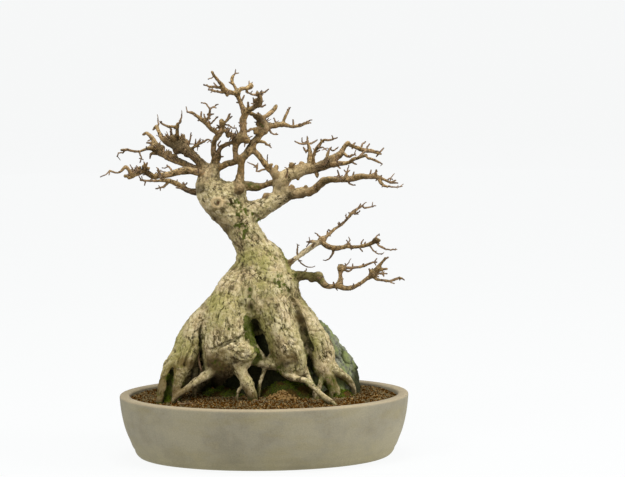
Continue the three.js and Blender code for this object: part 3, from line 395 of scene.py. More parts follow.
# One grain in thirty is a pale one, and the heap has many more
grain_tone = random.normal(0.12, 0.17, len(spots)) + 0.62 * (random.uniform(size=len(spots)) < 0.035)
grain_tone += in_heap * random.uniform(0.8, 1.9, len(spots)) * (in_heap > 0.25)
grain_tone -= 0.1 * np.exp(-((spots[:, 0] + 5) / 120) ** 2 - ((spots[:, 1] + 20) / 50) ** 2)
new_piece("soil_grains", grain_points, grain_faces, akadama, ["soil"], smooth=False,
          marks={"tone": np.repeat(np.clip(grain_tone, 0, 0.9), 10)})

# Rock
# A boulder of grey field stone that the roots were led over when the tree was young. It is weathered
# and pitted, with pale lichen crusts. Under the roots and low at its right end it is painted dark
# green-black: painted shade, tinted as wet slime.
ROCK_MIDDLE = np.array([45.0, 28.0, 136.0])
# The boulder's flat faces: the way that each looks, and how far off the middle it is in mm
ROCK_FACES = np.array([
    [0.78, 0, 0.62, 102], [1, 0.1, -0.12, 121], [0.1, 0, 1, 100], [-0.6, 0, 0.75, 92], [-1, 0, 0.1, 118],
    [0, 0, -1, 76], [0, -1, 0.12, 50], [0.05, 1, 0.14, 64], [0.62, -0.74, 0.25, 88], [0.66, 0.7, 0.28, 100],
    [-0.6, -0.72, 0.3, 84], [-0.62, 0.7, 0.3, 88], [0.86, -0.36, 0.36, 107], [0.34, -0.76, 0.55, 78],
    [0.24, 0.74, 0.62, 84], [0.9, 0.42, 0.2, 117],
])


def unit(ways):
    """Ways of length one."""
    return ways / np.maximum(np.linalg.norm(ways, axis=-1, keepdims=True), 1e-6)


def boulder(rows, columns):
    """A ball of rays from the middle. Each ray ends at the nearest flat face, the faces being met
    softly, and is roughened by three sizes of hills and by cracks where a noise passes zero."""
    polar, round_angle = np.meshgrid(np.linspace(0, np.pi, rows + 2)[1:-1],
                                     np.linspace(0, 2 * np.pi, columns, endpoint=False), indexing="ij")
    out = np.sin(polar)
    rays = np.stack([out * np.cos(round_angle), out * np.sin(round_angle), np.cos(polar)], -1)
    rays = np.vstack([rays.reshape(-1, 3), [0, 0, 1], [0, 0, -1]])
    facing = rays @ unit(ROCK_FACES[:, :3]).T
    reach = np.where(facing > 0.05, ROCK_FACES[:, 3] / np.maximum(facing, 0.05), 400.0)
    soft = 5.0
    ends = -soft * np.log(np.exp(-reach / soft).sum(1))
    ends = np.maximum(ends, reach.min(1) - 5) + 1.5
    points = rays * ends[:, None] + ROCK_MIDDLE
    hills = 3.0 * noise(points, 26.0, 21) + 2.6 * noise(points, 11.0, 22) + 1.8 * noise(points, 5.6, 23)
    hills -= 2.4 * np.exp(-(noise(points, 17.0, 26) / 0.08) ** 2)
    cracks = -2.0 * np.exp(-(noise(points, np.array([26.0, 26.0, 44.0]), 24) / 0.045) ** 2)
    # Painted shade: the stone left of x 96, under the roots, and low at its right end is marked to be painted
    # dark.
    wet_and_shaded = (96 - points[:, 0]) / 22 + 1.2 * noise(points, 18.0, 25)
    wet_and_shaded = np.clip(np.maximum(wet_and_shaded, (points[:, 0] - 152) / 10 + (160 - points[:, 2]) / 40 - 0.4), 0, 1)
    return points + rays * (hills + cracks)[:, None], cracks + 0.35 * hills, wet_and_shaded


ROCK_ROWS, ROCK_COLUMNS = 200, 340
rock_points, rock_relief, rock_wet_and_shaded = boulder(ROCK_ROWS, ROCK_COLUMNS)

# Weathered field stone: mid grey with a mineral speckle, worn by water, under crusts of yellow-green
# lichen that give it a patchy, quite matt face.
field_stone, tree = new_material("lichened_field_stone")
place = add(tree, "TexCoord", output="Object")
relief, wet_and_shaded = (add(tree, "Attribute", output="Fac", attribute_name=name) for name in ("relief", "wet_and_shaded"))
mineral = add(tree, "TexNoise", {"Scale": 1000 / 6, "Detail": 6.0, "Roughness": 0.7}, {"Vector": place})
stone = add(tree, "ValToRGB", links={"Fac": mineral},
            stops=[(0.3, "23241c"), (0.7, "c2c4ae"), (0.43, "55564a"), (0.56, "8b8c78")])
crusts = add(tree, "TexNoise", {"Scale": 1000 / 24, "Detail": 6.0, "Roughness": 0.72}, {"Vector": place})
shaded = stained(tree, stone, [("7f8a4a", crusts, 0.44, 0.56, 0.75), ("23240f", relief, -0.6, -2.4, 0.85)])
# Painted shade, tinted dark green as slime, for the stone under the roots.
shaded_slime = add(tree, "ValToRGB", links={"Fac": mineral},
            stops=[(0.35, "14140a"), (0.68, "4a4e22"), (0.5, "27280f")])
wetted_and_shaded = add(tree, "Mix", links={0: wet_and_shaded, 6: shaded, 7: shaded_slime}, output=2, data_type="RGBA")
stone_bump = add(tree, "Bump", {"Strength": 0.8, "Distance": 0.003}, {"Height": mineral})
shader = add(tree, "BsdfPrincipled", {"Roughness": 0.9, "IOR": 1.5, "Specular IOR Level": 0.25},
             {"Base Color": wetted_and_shaded, "Normal": stone_bump})
add(tree, "OutputMaterial", links={"Surface": shader})

new_piece("boulder", rock_points, ring_faces(ROCK_ROWS, ROCK_COLUMNS), field_stone, ["rock"],
          marks={"relief": rock_relief, "wet_and_shaded": rock_wet_and_shaded})

# Tree
# A trident maple in winter, all one living piece: the trunk parts into roots below and limbs above,
# and every fork is grown together with a soft collar. It is drawn as it is seen from the front. Each
# point is [x, z, radius, depth] on the upright plane through the pot's middle, and the depth slides
# it along the line of sight.
VIEW_DISTANCE = 4930.0
VIEW_HEIGHT = 905.0
TRUNK_AND_ROOTS = {
    "trunk": [[-68, 455, 28, 0], [-65, 442, 29, 0], [-58, 426, 26, 0], [-42, 407, 25.5, 0],
      [-31, 389, 28, 0], [-21, 370, 29, 0], [-15, 355, 32, 0], [-9, 342, 38.5, 0], [-2, 331, 44, 0],
      [-3, 318, 47.5, 2], [-5, 303, 55, 4], [-8, 285, 64, 8], [-10, 266, 60, 12], [-10, 244, 48, 16]],
    "belly": [[-32, 316, 20, -12], [-44, 298, 27, -18], [-58, 264, 35, -22], [-66, 236, 41, -27],
      [-68, 205, 40, -30], [-70, 180, 36, -32], [-72, 162, 26, -32], [-74, 151, 12, -32]],
    "burl": [[-66, 186, 17, -46], [-52, 184, 18.5, -52], [-38, 181, 18, -55], [-27, 180, 13, -57],
      [-19, 181, 7, -58], [-13, 182.5, 3, -58]],
    "burlFoot": [[-50, 172, 15, -48], [-38, 166, 12, -52], [-31, 163, 9, -54]],
    "mossyWall": [[-31, 250, 3, -36], [-30, 234, 5.5, -39], [-27, 217, 7.5, -42], [-21, 202, 7.5, -44],
      [-13, 189, 7, -44], [-4, 176, 7, -42]],
    "shoulder": [[36, 312, 18, -4], [41, 296, 20, -6], [42, 280, 20, -8], [44, 264, 18, -10]],
    "innerRoot": [[-52, 176, 16, -44], [-43, 154, 12, -52], [-36, 140, 9.5, -58], [-29, 128, 10.5, -62],
      [-25, 116, 9.5, -64], [-21, 106, 9, -66], [-19, 96, 7.5, -66], [-18, 82, 4, -66]],
    "sideRootlet": [[-36, 124, 4, -60], [-42, 118, 3.3, -62], [-46, 109, 2.8, -63], [-46, 98, 2.2, -63],
      [-45, 84, 2, -63]],
    "outerLeftRoot": [[-40, 300, 20, 2], [-66, 275, 21, 0], [-92, 248, 20.5, -4], [-112, 224, 23, -9],
      [-126, 203, 22.5, -14], [-138, 177, 21, -22], [-152, 156, 19.5, -32], [-163, 134, 17, -42],
      [-171, 113, 13, -50], [-177, 99, 9, -55], [-184, 82, 5, -60]],
    "secondLeftRoot": [[-97, 247, 16, -18], [-114, 222, 19, -28], [-123, 196, 16, -38],
      [-131, 172, 13, -46], [-141, 150, 11, -52], [-149, 130, 9, -56], [-155, 110, 6.5, -58],
      [-158, 90, 4, -60]],
    "diagonalRoot": [[-86, 154, 11, -40], [-102, 141, 7.6, -50], [-120, 130, 6.2, -58],
      [-136, 117, 5.4, -64], [-150, 108, 5, -67], [-161, 96, 4.4, -70], [-167, 82, 3, -73]],
    "centreRoot": [[8, 304, 34, -12], [15, 268, 34, -21], [25, 234, 31.5, -28], [35, 206, 30, -33],
      [44, 180, 29, -36], [48, 160, 25, -38], [50, 147, 17, -40], [51, 140, 8, -40]],
    "rightRoot": [[26, 304, 25, -2], [40, 275, 24, -7], [61, 245, 23, -11], [82, 215, 21.5, -14],
      [97, 190, 21, -17], [103, 166, 20, -20], [106, 148, 17, -23], [113, 129, 11.5, -27],
      [125, 108, 7.5, -31], [130, 88, 4, -34]],
    "rockRoot": [[107, 166, 10, -24], [121, 152, 9, -27], [133, 142, 8, -26], [145, 132, 7, -22],
      [153, 120, 5, -17], [157, 98, 3, -12]],
    "rightRootlet": [[104, 150, 8, -36], [111, 134, 6, -40], [116, 118, 5, -42], [116, 100, 3.4, -42],
      [114, 86, 2.4, -42]],
    "frontRoot": [[40, 146, 9, -50], [47, 137, 6.4, -58], [58, 134, 5.6, -65], [71, 131, 5.2, -72],
      [86, 119, 5, -82], [102, 103, 4.8, -92], [116, 94, 3.8, -98], [127, 84, 2.6, -104],
      [137, 78, 1.6, -108]],
    "frontRootFork": [[104, 98, 4.4, -93], [112, 90, 3, -97], [120, 82, 2, -100], [124, 74, 1.4, -102]],
    "yellowRootlet": [[14, 172, 7, -34], [6, 160, 4.6, -38], [-2, 142, 3.6, -42], [-8, 122, 3, -46],
      [-10, 96, 2, -48]],
    "caveRoot": [[-64, 170, 18, 6], [-60, 146, 14, 14], [-62, 120, 11, 20], [-66, 92, 7, 24]],
    "backLeftRoot": [[-38, 298, 28, 18], [-60, 268, 27, 32], [-86, 236, 25, 46], [-106, 204, 23, 57],
      [-122, 172, 20, 66], [-136, 142, 16, 76], [-146, 118, 11, 84], [-152, 94, 6, 90]],
    "backRoot": [[-8, 300, 40, 26], [-18, 262, 39, 40], [-14, 226, 34, 52], [-4, 190, 27, 62],
      [2, 158, 21, 70], [2, 132, 16, 78], [-2, 108, 10, 84], [-4, 88, 6, 88]],
    "backRightRoot": [[18, 302, 30, 20], [36, 268, 26, 34], [58, 238, 23, 46], [78, 206, 20, 56],
      [92, 176, 17, 64], [102, 148, 14, 72], [112, 124, 10, 80], [120, 98, 6, 88]],
}

# Limbs from root to tip: the limb's name, if others grow on it, what it grows on, how far it leans
# back on its way to the tip, forwards if negative, and its [x, z, radius] points
LIMBS = [
    # The fork at the trunk's top
    ("leftFork", "trunk", 10, [[-72, 440, 25], [-86, 456, 24.5], [-92, 474, 20.5], [-87, 490, 14],
      [-82, 502, 10], [-79, 513, 7]]),
    ("rightFork", "trunk", -8, [[-48, 436, 22], [-44, 456, 16], [-40, 470, 10.5], [-38, 484, 8.4],
      [-36, 496, 7], [-35, 507, 6.2], [-34, 517, 5.8]]),
    ("rightLimb", "trunk", -6, [[-44, 414, 26], [-26, 421, 20], [-6, 430, 17.5], [14, 439, 15],
      [30, 447, 13], [42, 455, 11.5]]),
    ("backBridge", "trunk", 8, [[-46, 458, 10], [-28, 470.5, 8.4], [-12, 468, 7.6], [2, 470.5, 5.4],
      [14, 474.5, 5], [32, 474, 7]]),
    # Left side, from the lowest limb up
    ("shadedLimb", "leftFork", 56, [[-104, 460, 8], [-120, 461, 5.8], [-132, 466, 5], [-145, 474, 4.8],
      [-158, 480, 4], [-169, 481.5, 3], [-183, 480, 2.2], [-199, 481, 1.9], [-208, 482, 2.2]]),
    ("", "shadedLimb", -8, [[-205, 482, 1.5], [-206.5, 489, 1]]),
    ("", "shadedLimb", 18, [[-158, 480, 2.4], [-170, 470, 1.7], [-182, 467, 1.3]]),
    ("tanLimb", "leftFork", -62, [[-96, 489, 8], [-108, 494, 6.6], [-120, 497, 6.4], [-134, 497.5, 6.5],
      [-149, 494, 5.6], [-164, 490, 5.3], [-175, 489.5, 4.9], [-184, 487.5, 4.8], [-193, 492, 5],
      [-202, 497, 4.8], [-212, 494, 4.2], [-221, 490, 3.8], [-228, 486, 3]]),
    ("tanTip", "tanLimb", -8, [[-225, 495, 3.5], [-230, 502, 3], [-233.5, 505.5, 2.7], [-239, 500, 2.4],
      [-245, 495, 1.7], [-252, 495.5, 1.5], [-262, 498, 1.5], [-266, 493, 1.2], [-277, 488, 0.8]]),
    ("", "tanLimb", -4, [[-199, 504, 2.4], [-202, 513.5, 1.1]]),
    ("", "tanLimb", 5, [[-211, 500, 2], [-215, 506, 1]]),
    ("", "tanLimb", 4, [[-220, 498, 1.6], [-225.5, 508, 0.8]]),
    ("tanSpur", "tanLimb", 8, [[-155, 499, 1.8], [-163, 508, 1.2]]),
    ("", "tanSpur", 4, [[-162, 504, 1.2], [-171, 502, 0.9]]),
    ("", "tanLimb", -10, [[-176, 495, 2.4], [-178, 501, 1.4]]),
    ("darkLimb", "leftFork", 88, [[-100, 494, 8], [-114, 500, 6.8], [-125, 506, 6], [-141, 513, 5.6],
      [-157, 519.5, 6], [-168, 526, 6.2], [-178, 531, 5.4]]),
    ("", "darkLimb", 22, [[-172, 534, 5], [-179, 541, 4.8], [-185.5, 551, 4], [-192, 559, 3.4],
      [-197.5, 563, 2.8], [-202, 560, 1.8]]),
    ("", "darkLimb", 8, [[-181, 543, 2.6], [-196, 546, 1.5]]),
    ("darkTip", "darkLimb", -26, [[-180, 532, 4.6], [-190.5, 537, 4], [-200, 534.5, 3], [-209, 531.5, 2.5],
      [-218, 531.5, 2.2], [-228, 534, 2.2], [-241, 534, 2.2]]),
    ("", "darkTip", -8, [[-236, 530, 1.6], [-245, 529, 1.3], [-248, 523, 1]]),
    ("", "darkTip", -6, [[-209, 530, 1.6], [-206.5, 521, 1.4], [-208.5, 512, 1]]),
    ("", "darkLimb", -8, [[-182, 528, 2.8], [-189.5, 527, 2.4], [-191.5, 519, 1.1]]),
    ("highLimb", "leftFork", 52, [[-92, 500, 10], [-101, 507, 8], [-110, 515, 7.6], [-119, 524, 8],
      [-128, 532, 9], [-139, 538, 9.5], [-149, 543, 9.5], [-158, 546, 7]]),
    ("highPost", "highLimb", -14, [[-145, 556, 4.4], [-144, 568, 3.4], [-143.5, 578, 3]]),
    ("", "highPost", -6, [[-140, 579, 2], [-137.5, 586, 1.6], [-136, 594, 1]]),
    ("", "highPost", -10, [[-152, 573.5, 2.4], [-161, 574.5, 2], [-169, 578, 1.8], [-174, 582, 1.3]]),
    ("", "highLimb", -12, [[-154.5, 558, 2.4], [-156, 573, 1.8]]),
    ("highTip", "highLimb", 24, [[-158, 544, 5], [-167, 550, 5], [-172, 557.5, 4], [-176.5, 566.5, 3],
      [-180, 574, 3], [-186, 568, 1.4]]),
    ("", "highTip", 6, [[-177, 576, 1.8], [-177, 588, 1]]),
    ("", "highLimb", 8, [[-135, 547, 5], [-134.5, 556, 4]]),
    ("", "highLimb", -6, [[-124, 545, 1.8], [-120.5, 563, 1]]),
    ("", "highLimb", -30, [[-118, 536, 3.2], [-108, 543, 2.4], [-99, 547, 1.9], [-90.5, 551, 1.4],
      [-86, 546.5, 1]]),
    # Centre, over the left fork
    ("frontLimb", "leftFork", -52, [[-81, 520, 5.6], [-82, 537, 4.4], [-80, 549, 4.6], [-74.5, 557, 4.9],
      [-68.5, 565.5, 4.6], [-67, 574, 4.5], [-68, 582, 3.8]]),
    ("", "frontLimb", -14, [[-63.5, 579, 2.4], [-58, 585, 1.8], [-54, 595, 1.4]]),
    ("", "frontLimb", -6, [[-61, 581, 1.6], [-50, 589.5, 1.1]]),
    ("", "frontLimb", -5, [[-72, 572, 2], [-79.5, 567.5, 1.3]]),
    ("", "frontLimb", -12, [[-58, 576, 1.5], [-50, 570.5, 1.2], [-43, 569.5, 0.9]]),
    ("frontSide", "frontLimb", -34, [[-86, 569, 3.8], [-93, 576.5, 4], [-101, 584, 3.9],
      [-110.5, 591, 3.1], [-120.5, 597.5, 2.4], [-126, 598, 1.4]]),
    ("frontFork", "frontSide", -12, [[-89, 590, 2.2], [-88, 603, 1.8]]),
    ("", "frontFork", -6, [[-91, 608, 1.4], [-96.5, 613, 1.3], [-102, 613.5, 1]]),
    ("", "frontFork", 5, [[-82, 606, 1.5], [-73.5, 611, 1.1]]),
    ("", "frontSide", -6, [[-84, 580, 1.5], [-73.5, 590, 1]]),
    ("", "frontSide", 8, [[-97, 588, 1.8], [-99, 595, 1]]),
    ("slimLimb", "leftFork", -16, [[-75, 520, 5], [-73.5, 531, 4.2], [-69, 538, 4], [-60, 542, 3.7],
      [-50, 545.5, 3.6], [-42, 549, 4]]),
    ("", "slimLimb", -6, [[-75, 540, 1.6], [-70, 548, 1.1]]),
    # Centre, over the right fork: an arch to the right and a knot under the top stem
    ("archLimb", "rightFork", 28, [[-33, 518, 6.4], [-25.5, 525, 7.4], [-20, 534, 7.4], [-15, 543, 6.6],
      [-7, 552, 5.6], [-1, 561, 7.2], [4, 570, 9.4], [2, 578, 7]]),
    ("leftTie", "leftFork", -14, [[-72, 503, 6], [-61, 508, 5.6], [-49, 511, 5.5], [-36, 516, 5.5]]),
    ("topStem", "rightFork", 8, [[-43, 516, 5], [-45, 528, 5], [-44.5, 538, 5.6], [-40, 547, 7],
      [-34, 554, 8.6], [-31, 563, 6.6], [-31, 572, 5.6], [-31, 583, 6], [-28, 592, 5.6], [-30, 601, 4.8],
      [-34, 610, 4.4], [-37, 619, 4.2], [-41, 629, 4.6]]),
    ("", "topStem", -4, [[-29, 551, 7], [-25, 549, 5]]),
    ("", "frontLimb", 36, [[-62, 565, 3.2], [-56.5, 560, 3], [-50, 555.5, 3.6], [-42, 554, 4.4]]),
    ("archTip", "archLimb", -22, [[0, 580, 6.4], [-4, 587, 5.2], [-9.5, 590, 4.4], [-15, 593.5, 3.3],
      [-22, 597, 3]]),
    ("", "archLimb", -22, [[-7, 568, 3.4], [-17, 567.5, 2.5], [-23.5, 564, 1.8]]),
    ("", "archTip", 18, [[4, 587, 3.8], [11.5, 591.5, 4], [18, 597, 4], [23.5, 602.5, 3.8],
      [26, 608, 2.6]]),
    ("archArm", "archLimb", 58, [[13.5, 573, 6.6], [21, 573, 5.2], [29, 575, 5], [36.5, 575, 4.8],
      [44, 573.5, 3.6], [52, 571.5, 3.1], [62, 572, 3], [71.5, 574.5, 2.6], [77, 577, 2.4],
      [85, 577.5, 1.3]]),
    ("", "archArm", 12, [[38.5, 582, 2.6], [43, 592, 2.5], [46, 598, 2.2], [48.5, 603, 1.6]]),
    ("", "archArm", -14, [[14.5, 564, 2], [20, 559, 1.4], [29, 558.5, 1.1]]),
    ("", "archLimb", -12, [[-6, 548, 3.4], [4.7, 545, 2.8], [10, 540.5, 2], [15.6, 539, 1.1]]),
    # Top
    ("topLeft", "topStem", -30, [[-51, 631, 4.5], [-58.5, 632, 4.8], [-64, 637, 4.5], [-67, 644, 4],
      [-72.5, 650.5, 2.9], [-79.5, 659.5, 2.4], [-83.5, 666.5, 2]]),
    ("", "topLeft", -4, [[-80, 658, 1.4], [-90, 653.5, 1]]),
    ("", "topLeft", 26, [[-70.5, 640, 2.6], [-80.5, 640.5, 2.1], [-90, 642, 1.8], [-97.5, 645, 1.2]]),
    ("", "topLeft", -14, [[-64, 631.5, 2.8], [-72, 632, 2.1], [-80.5, 634, 1.9], [-90, 636.5, 1.4]]),
    ("topTwig", "topStem", 12, [[-43, 637, 3], [-46.5, 644, 2.6], [-49.5, 651, 2.5], [-47.5, 658.5, 2],
      [-44, 663, 1.4], [-43, 668, 0.9]]),
    ("", "topTwig", 6, [[-42, 663, 1.2], [-38, 664, 0.8]]),
    ("topRight", "topStem", 26, [[-34, 637, 4], [-25.5, 637.5, 3.2], [-20.5, 640, 3.4], [-16, 647, 1]]),
    ("", "topRight", 8, [[-24, 632, 1.8], [-18, 628, 1.6], [-6, 626.5, 2.4]]),
    ("cluster", "topStem", -34, [[-23, 599, 4.4], [-15, 603, 4.4], [-8, 608, 5], [-2, 614, 5],
      [-1.5, 621, 4], [-6, 630, 3]]),
    ("", "cluster", -14, [[0, 629, 2], [7, 631, 1.5], [13.5, 636, 1.1]]),
    ("", "cluster", -8, [[-12, 612, 1.8], [-13, 622, 1.2]]),
    ("", "cluster", -10, [[0, 606, 2], [7.5, 609.5, 1.4]]),
    ("", "topStem", -12, [[-23, 603, 2.4], [-22.5, 613, 1.8]]),
    # Right side, upper limb
    ("upperRight", "rightLimb", 40, [[32, 456, 12], [30, 470, 10.6], [37, 482, 10.6], [50, 490, 11],
      [61.5, 494, 11], [72, 498, 10], [84, 499, 9], [97, 501, 8.5], [110, 506, 8.5], [119, 512, 8],
      [127, 518, 7], [134, 523, 6.2], [139, 531, 5], [144, 538, 4.4], [148, 542, 3.8]]),
    ("", "upperRight", -6, [[51.5, 501, 5], [51.5, 507, 3]]),
    ("upperTip", "upperRight", 44, [[153, 538, 3.5], [162.5, 534.5, 3.5], [171, 531, 3.8],
      [181, 528.5, 3.7], [190, 528, 3.4], [198, 525, 2.8], [204.5, 522.5, 1.6]]),
    ("", "upperTip", 8, [[172, 538, 1.8], [179, 544.5, 1.2]]),
    ("post", "upperRight", 22, [[82, 514, 4.6], [83, 527, 4.3], [81, 536, 3.2], [79, 546, 2.2],
      [78.5, 555, 1.1]]),
    ("", "post", -10, [[76, 542, 2], [66, 541.5, 1.6], [56, 547, 1.1]]),
    ("", "post", 6, [[70, 544, 1.3], [70, 553, 0.9]]),
    ("", "post", 14, [[86, 542.5, 1.8], [95.5, 548, 1.2]]),
    ("", "post", -8, [[77, 529, 2], [71.5, 536, 1.5]]),
    ("splitTwig", "upperRight", -32, [[88.5, 510, 3.4], [89, 519, 3], [92, 529, 3], [97, 536, 3.2],
      [102, 543, 2.6], [107, 548, 2.4], [115, 547, 2], [122, 549, 1.6], [130.5, 551.5, 1.2]]),
    ("", "splitTwig", -10, [[99, 534, 1.6], [105, 535, 1.3], [111, 529.5, 1]]),
    ("midPost", "upperRight", 18, [[113, 515, 3], [113.5, 524, 2.5], [116, 531, 1.8], [119.5, 536, 1]]),
    ("", "midPost", 8, [[121.5, 529.5, 1.5], [130.5, 534, 1.1]]),
    ("upperLow", "upperRight", -58, [[118, 507, 6], [133, 507, 4.6], [143, 507.5, 3.4], [150, 509, 3],
      [157.5, 514, 3.8], [166, 516.5, 3.1], [173, 519, 2.6], [179, 521, 2.6]]),
    ("upperLowTip", "upperLow", -16, [[181.5, 516, 2.1], [190, 514, 2.1], [198, 510, 1.8],
      [207.5, 505.5, 1]]),
    ("", "upperLow", -4, [[157.5, 508.5, 1.6], [163, 505, 1.1]]),
    ("", "upperLow", 6, [[131, 503, 2], [135, 498, 1.2]]),
    ("", "upperRight", -20, [[142, 523, 2.6], [150, 518.5, 2.1], [155, 521, 1.8], [161.5, 523, 1]]),
    ("", "upperRight", -6, [[93.5, 490, 2.4], [95.5, 483, 1.3]]),
    # Right side, lower limb
    ("lowerRight", "rightLimb", -78, [[46, 457, 11], [56, 456, 9.6], [66, 457, 9], [75, 458.5, 8.2],
      [84, 460, 7.2], [92.5, 465, 7], [99.5, 471, 7.2], [106, 477, 7.2], [114, 479, 6.2],
      [128, 479.5, 5.5], [144, 479.5, 5.4], [155, 480.5, 5.5], [164.5, 483.5, 6], [175, 484, 5.6],
      [184, 484, 4.6], [194, 483.5, 4.4], [202, 481.5, 4]]),
    ("", "lowerRight", -4, [[50.7, 465, 5], [50.5, 469, 3.4]]),
    ("", "lowerRight", -6, [[145.5, 484, 2.2], [147, 494, 1.4], [149, 503, 0.9]]),
    ("", "lowerRight", -6, [[196, 487, 2.4], [196.5, 495, 1.6]]),
    ("lowerTip", "lowerRight", 16, [[208, 479.5, 2.6], [216.5, 475.5, 2.2], [225, 473, 1.9],
      [235, 472.5, 1.3]]),
    ("", "lowerTip", 6, [[217, 479, 1.4], [225, 479.5, 1]]),
    ("", "lowerRight", -22, [[204, 474, 3.4], [210.5, 467.5, 2.4], [218, 466.5, 1.6], [228, 465, 1.3],
      [240, 466, 0.9]]),
    ("", "lowerRight", -8, [[149, 474, 1.8], [155, 470, 1.3], [161, 470, 1]]),
    ("innerLimb", "upperRight", 0, [[28, 483, 8], [20, 493, 6], [10, 501.5, 5.2], [2, 512, 5],
      [-6, 523, 5], [-16, 533, 5]]),
    ("", "innerLimb", -10, [[8, 499, 2], [0, 497, 1.9], [-8.5, 495, 2], [-8, 502, 1.7], [-14, 505.5, 1.2],
      [-24, 511, 0.8]]),
    ("", "innerLimb", 10, [[24, 500, 3], [25, 504, 1.6]]),
    # Right side, the two limbs low on the trunk
    ("straightLimb", "trunk", 14, [[34, 326, 9], [45, 335, 6.2], [58.7, 345.5, 4.8], [74, 356.3, 4.6],
      [89.6, 367, 4.6], [98.9, 373, 5], [105, 377, 5]]),
    ("straightUpper", "straightLimb", 52, [[112, 383, 3.2], [121, 391.5, 2.8], [134.6, 400.7, 2.3],
      [145.5, 410, 2.2], [151, 418, 2.8], [159, 425, 2.6], [168, 431, 2.1], [173.5, 435.2, 1.6]]),
    ("", "straightUpper", 8, [[174, 431.5, 1.8], [184, 431.3, 1.5], [196, 434, 1]]),
    ("", "straightUpper", -5, [[134, 402.5, 1.6], [131.5, 406.5, 1]]),
    ("", "straightUpper", -6, [[145, 413, 1.4], [144, 420, 0.9]]),
    ("", "straightUpper", -14, [[158, 420, 1.8], [168, 424.5, 1.1]]),
    ("", "straightLimb", -6, [[98, 381, 1.6], [91, 387.5, 1]]),
    ("", "straightLimb", -18, [[92, 372, 2.4], [82, 372.5, 2.2], [75, 372.5, 1]]),
    ("", "straightLimb", -8, [[60, 351, 2], [61, 367, 1.1]]),
    ("", "straightLimb", 20, [[66, 336, 1.2], [82, 328, 0.9], [90, 330, 0.8]]),
    ("straightLower", "straightLimb", -62, [[105.5, 369, 5], [112.7, 364, 4.6], [123.5, 361, 4.5],
      [135.7, 361.8, 4], [146.6, 363.3, 3.6], [158.8, 362.5, 3.4], [171.2, 363.5, 3.2], [181.9, 366, 3.2],
      [190, 370, 3.2], [195, 373, 3.4], [201, 373.5, 2.6]]),
    ("straightTip", "straightLower", -12, [[198, 367, 2], [206.5, 361.2, 1.8], [214.3, 357.8, 1.6],
      [229, 357.5, 1.2]]),
    ("", "straightLower", -10, [[186.5, 362, 1.6], [191, 355.2, 1.3], [198.5, 351, 1.2],
      [206.2, 350, 0.9]]),
    ("", "straightLower", 4, [[170, 370, 1.4], [173.7, 375, 0.9]]),
    ("", "straightLower", -4, [[169, 358, 1.4], [172, 355, 1]]),
    ("", "straightLower", 14, [[121, 354, 2.2], [117, 345.5, 1.6], [111, 340.5, 1.1], [104, 340, 0.9]]),
    ("greenLimb", "trunk", -44, [[38, 306, 13], [52, 312, 10], [64, 313.5, 8.4], [78.4, 313.5, 7.8],
      [92, 311, 7.6], [99.8, 305, 7], [106, 297.5, 6.2], [114, 294.5, 4.9], [123, 295.3, 4.2],
      [131, 295.5, 5], [139, 291.5, 4.6], [150.5, 291.5, 4], [159.6, 294.5, 3.5], [170.6, 301, 3.3],
      [182, 309, 3.6], [190, 315.5, 5]]),
    ("greenUpper", "greenLimb", -8, [[196.9, 324, 4], [203, 332, 3], [210.9, 341, 2.3],
      [216, 344.5, 1.4]]),
    ("", "greenLimb", -8, [[200, 322, 3], [213.5, 324, 2.4]]),
    ("", "greenLimb", 6, [[200, 316, 2], [214, 315.5, 1.1]]),
    ("greenLower", "greenLimb", 22, [[194, 308, 3], [206, 304, 2.3], [218, 303, 2.2], [227.3, 305, 2],
      [235, 308, 2.2], [244, 304, 1]]),
    ("", "greenLower", 6, [[220, 300.5, 1.3], [227, 298.5, 1]]),
    ("", "greenLimb", -10, [[187, 319, 2.6], [183, 324, 1.5]]),
    ("greenPost", "greenLimb", 18, [[132.5, 300, 5], [133.6, 309, 3.8], [133.7, 319, 3.6],
      [135, 328, 4.6]]),
    ("greenArm", "greenPost", 18, [[144, 326.5, 2.3], [156.9, 326.9, 2.2], [167.8, 327.8, 2.1],
      [178.5, 331, 2], [188, 335, 1.8], [197, 335.5, 1.2]]),
    ("", "greenPost", -6, [[140, 324, 2.6], [147, 320.5, 1.8], [154, 324, 1.2]]),
    ("", "greenPost", 8, [[143, 330.5, 1.2], [149, 336.5, 0.8]]),
    # Two limbs at the back, which the front ones hide from the front
    ("rearLeft", "leftFork", 116, [[-88, 496, 8.4], [-100, 507, 7.4], [-112, 519, 6.6], [-124, 531, 5.6],
      [-135, 542, 4.6], [-144, 549, 3.2]]),
    ("rearRight", "rightLimb", 128, [[20, 446, 9], [34, 462, 8], [46, 484, 7.2], [62, 494, 6.4],
      [80, 499, 5.6], [96, 502, 4.6], [108, 507, 3.2]]),
]

# Limbs that shoots stand on, how far apart those are, their length, how much longer the longest are
# and how thick
SHOOTING_LIMBS = [
    "shadedLimb", "tanLimb", "darkLimb", "darkTip", "highLimb", "frontLimb", "frontSide", "slimLimb",
    "archLimb", "archArm", "topStem", "topLeft", "upperRight", "upperTip", "upperLow", "splitTwig",
    "lowerRight", "innerLimb", "straightLimb", "straightUpper", "straightLower", "greenLimb", "greenArm",
    "rearLeft", "rearRight",
]
SHOOT_SPACING = 30
SHOOT_LENGTH = 15
SHOOT_EXTRA = 24
SHOOT_RADIUS = 1.4


def sight_points(path):
    """Places of [x, z, radius, depth] points: each goes along its line of sight to its depth."""
    x, z, radius, depth = np.asarray(path, float).T
    reach = (VIEW_DISTANCE + depth) / VIEW_DISTANCE
    return np.column_stack([x * reach, depth, VIEW_HEIGHT + (z - VIEW_HEIGHT) * reach, radius])


def front_view(points):
    """Where points show in the front view: their x and z on the upright plane through the middle."""
    reach = (VIEW_DISTANCE + points[:, 1]) / VIEW_DISTANCE
    return points[:, 0] / reach, VIEW_HEIGHT + (points[:, 2] - VIEW_HEIGHT) / reach


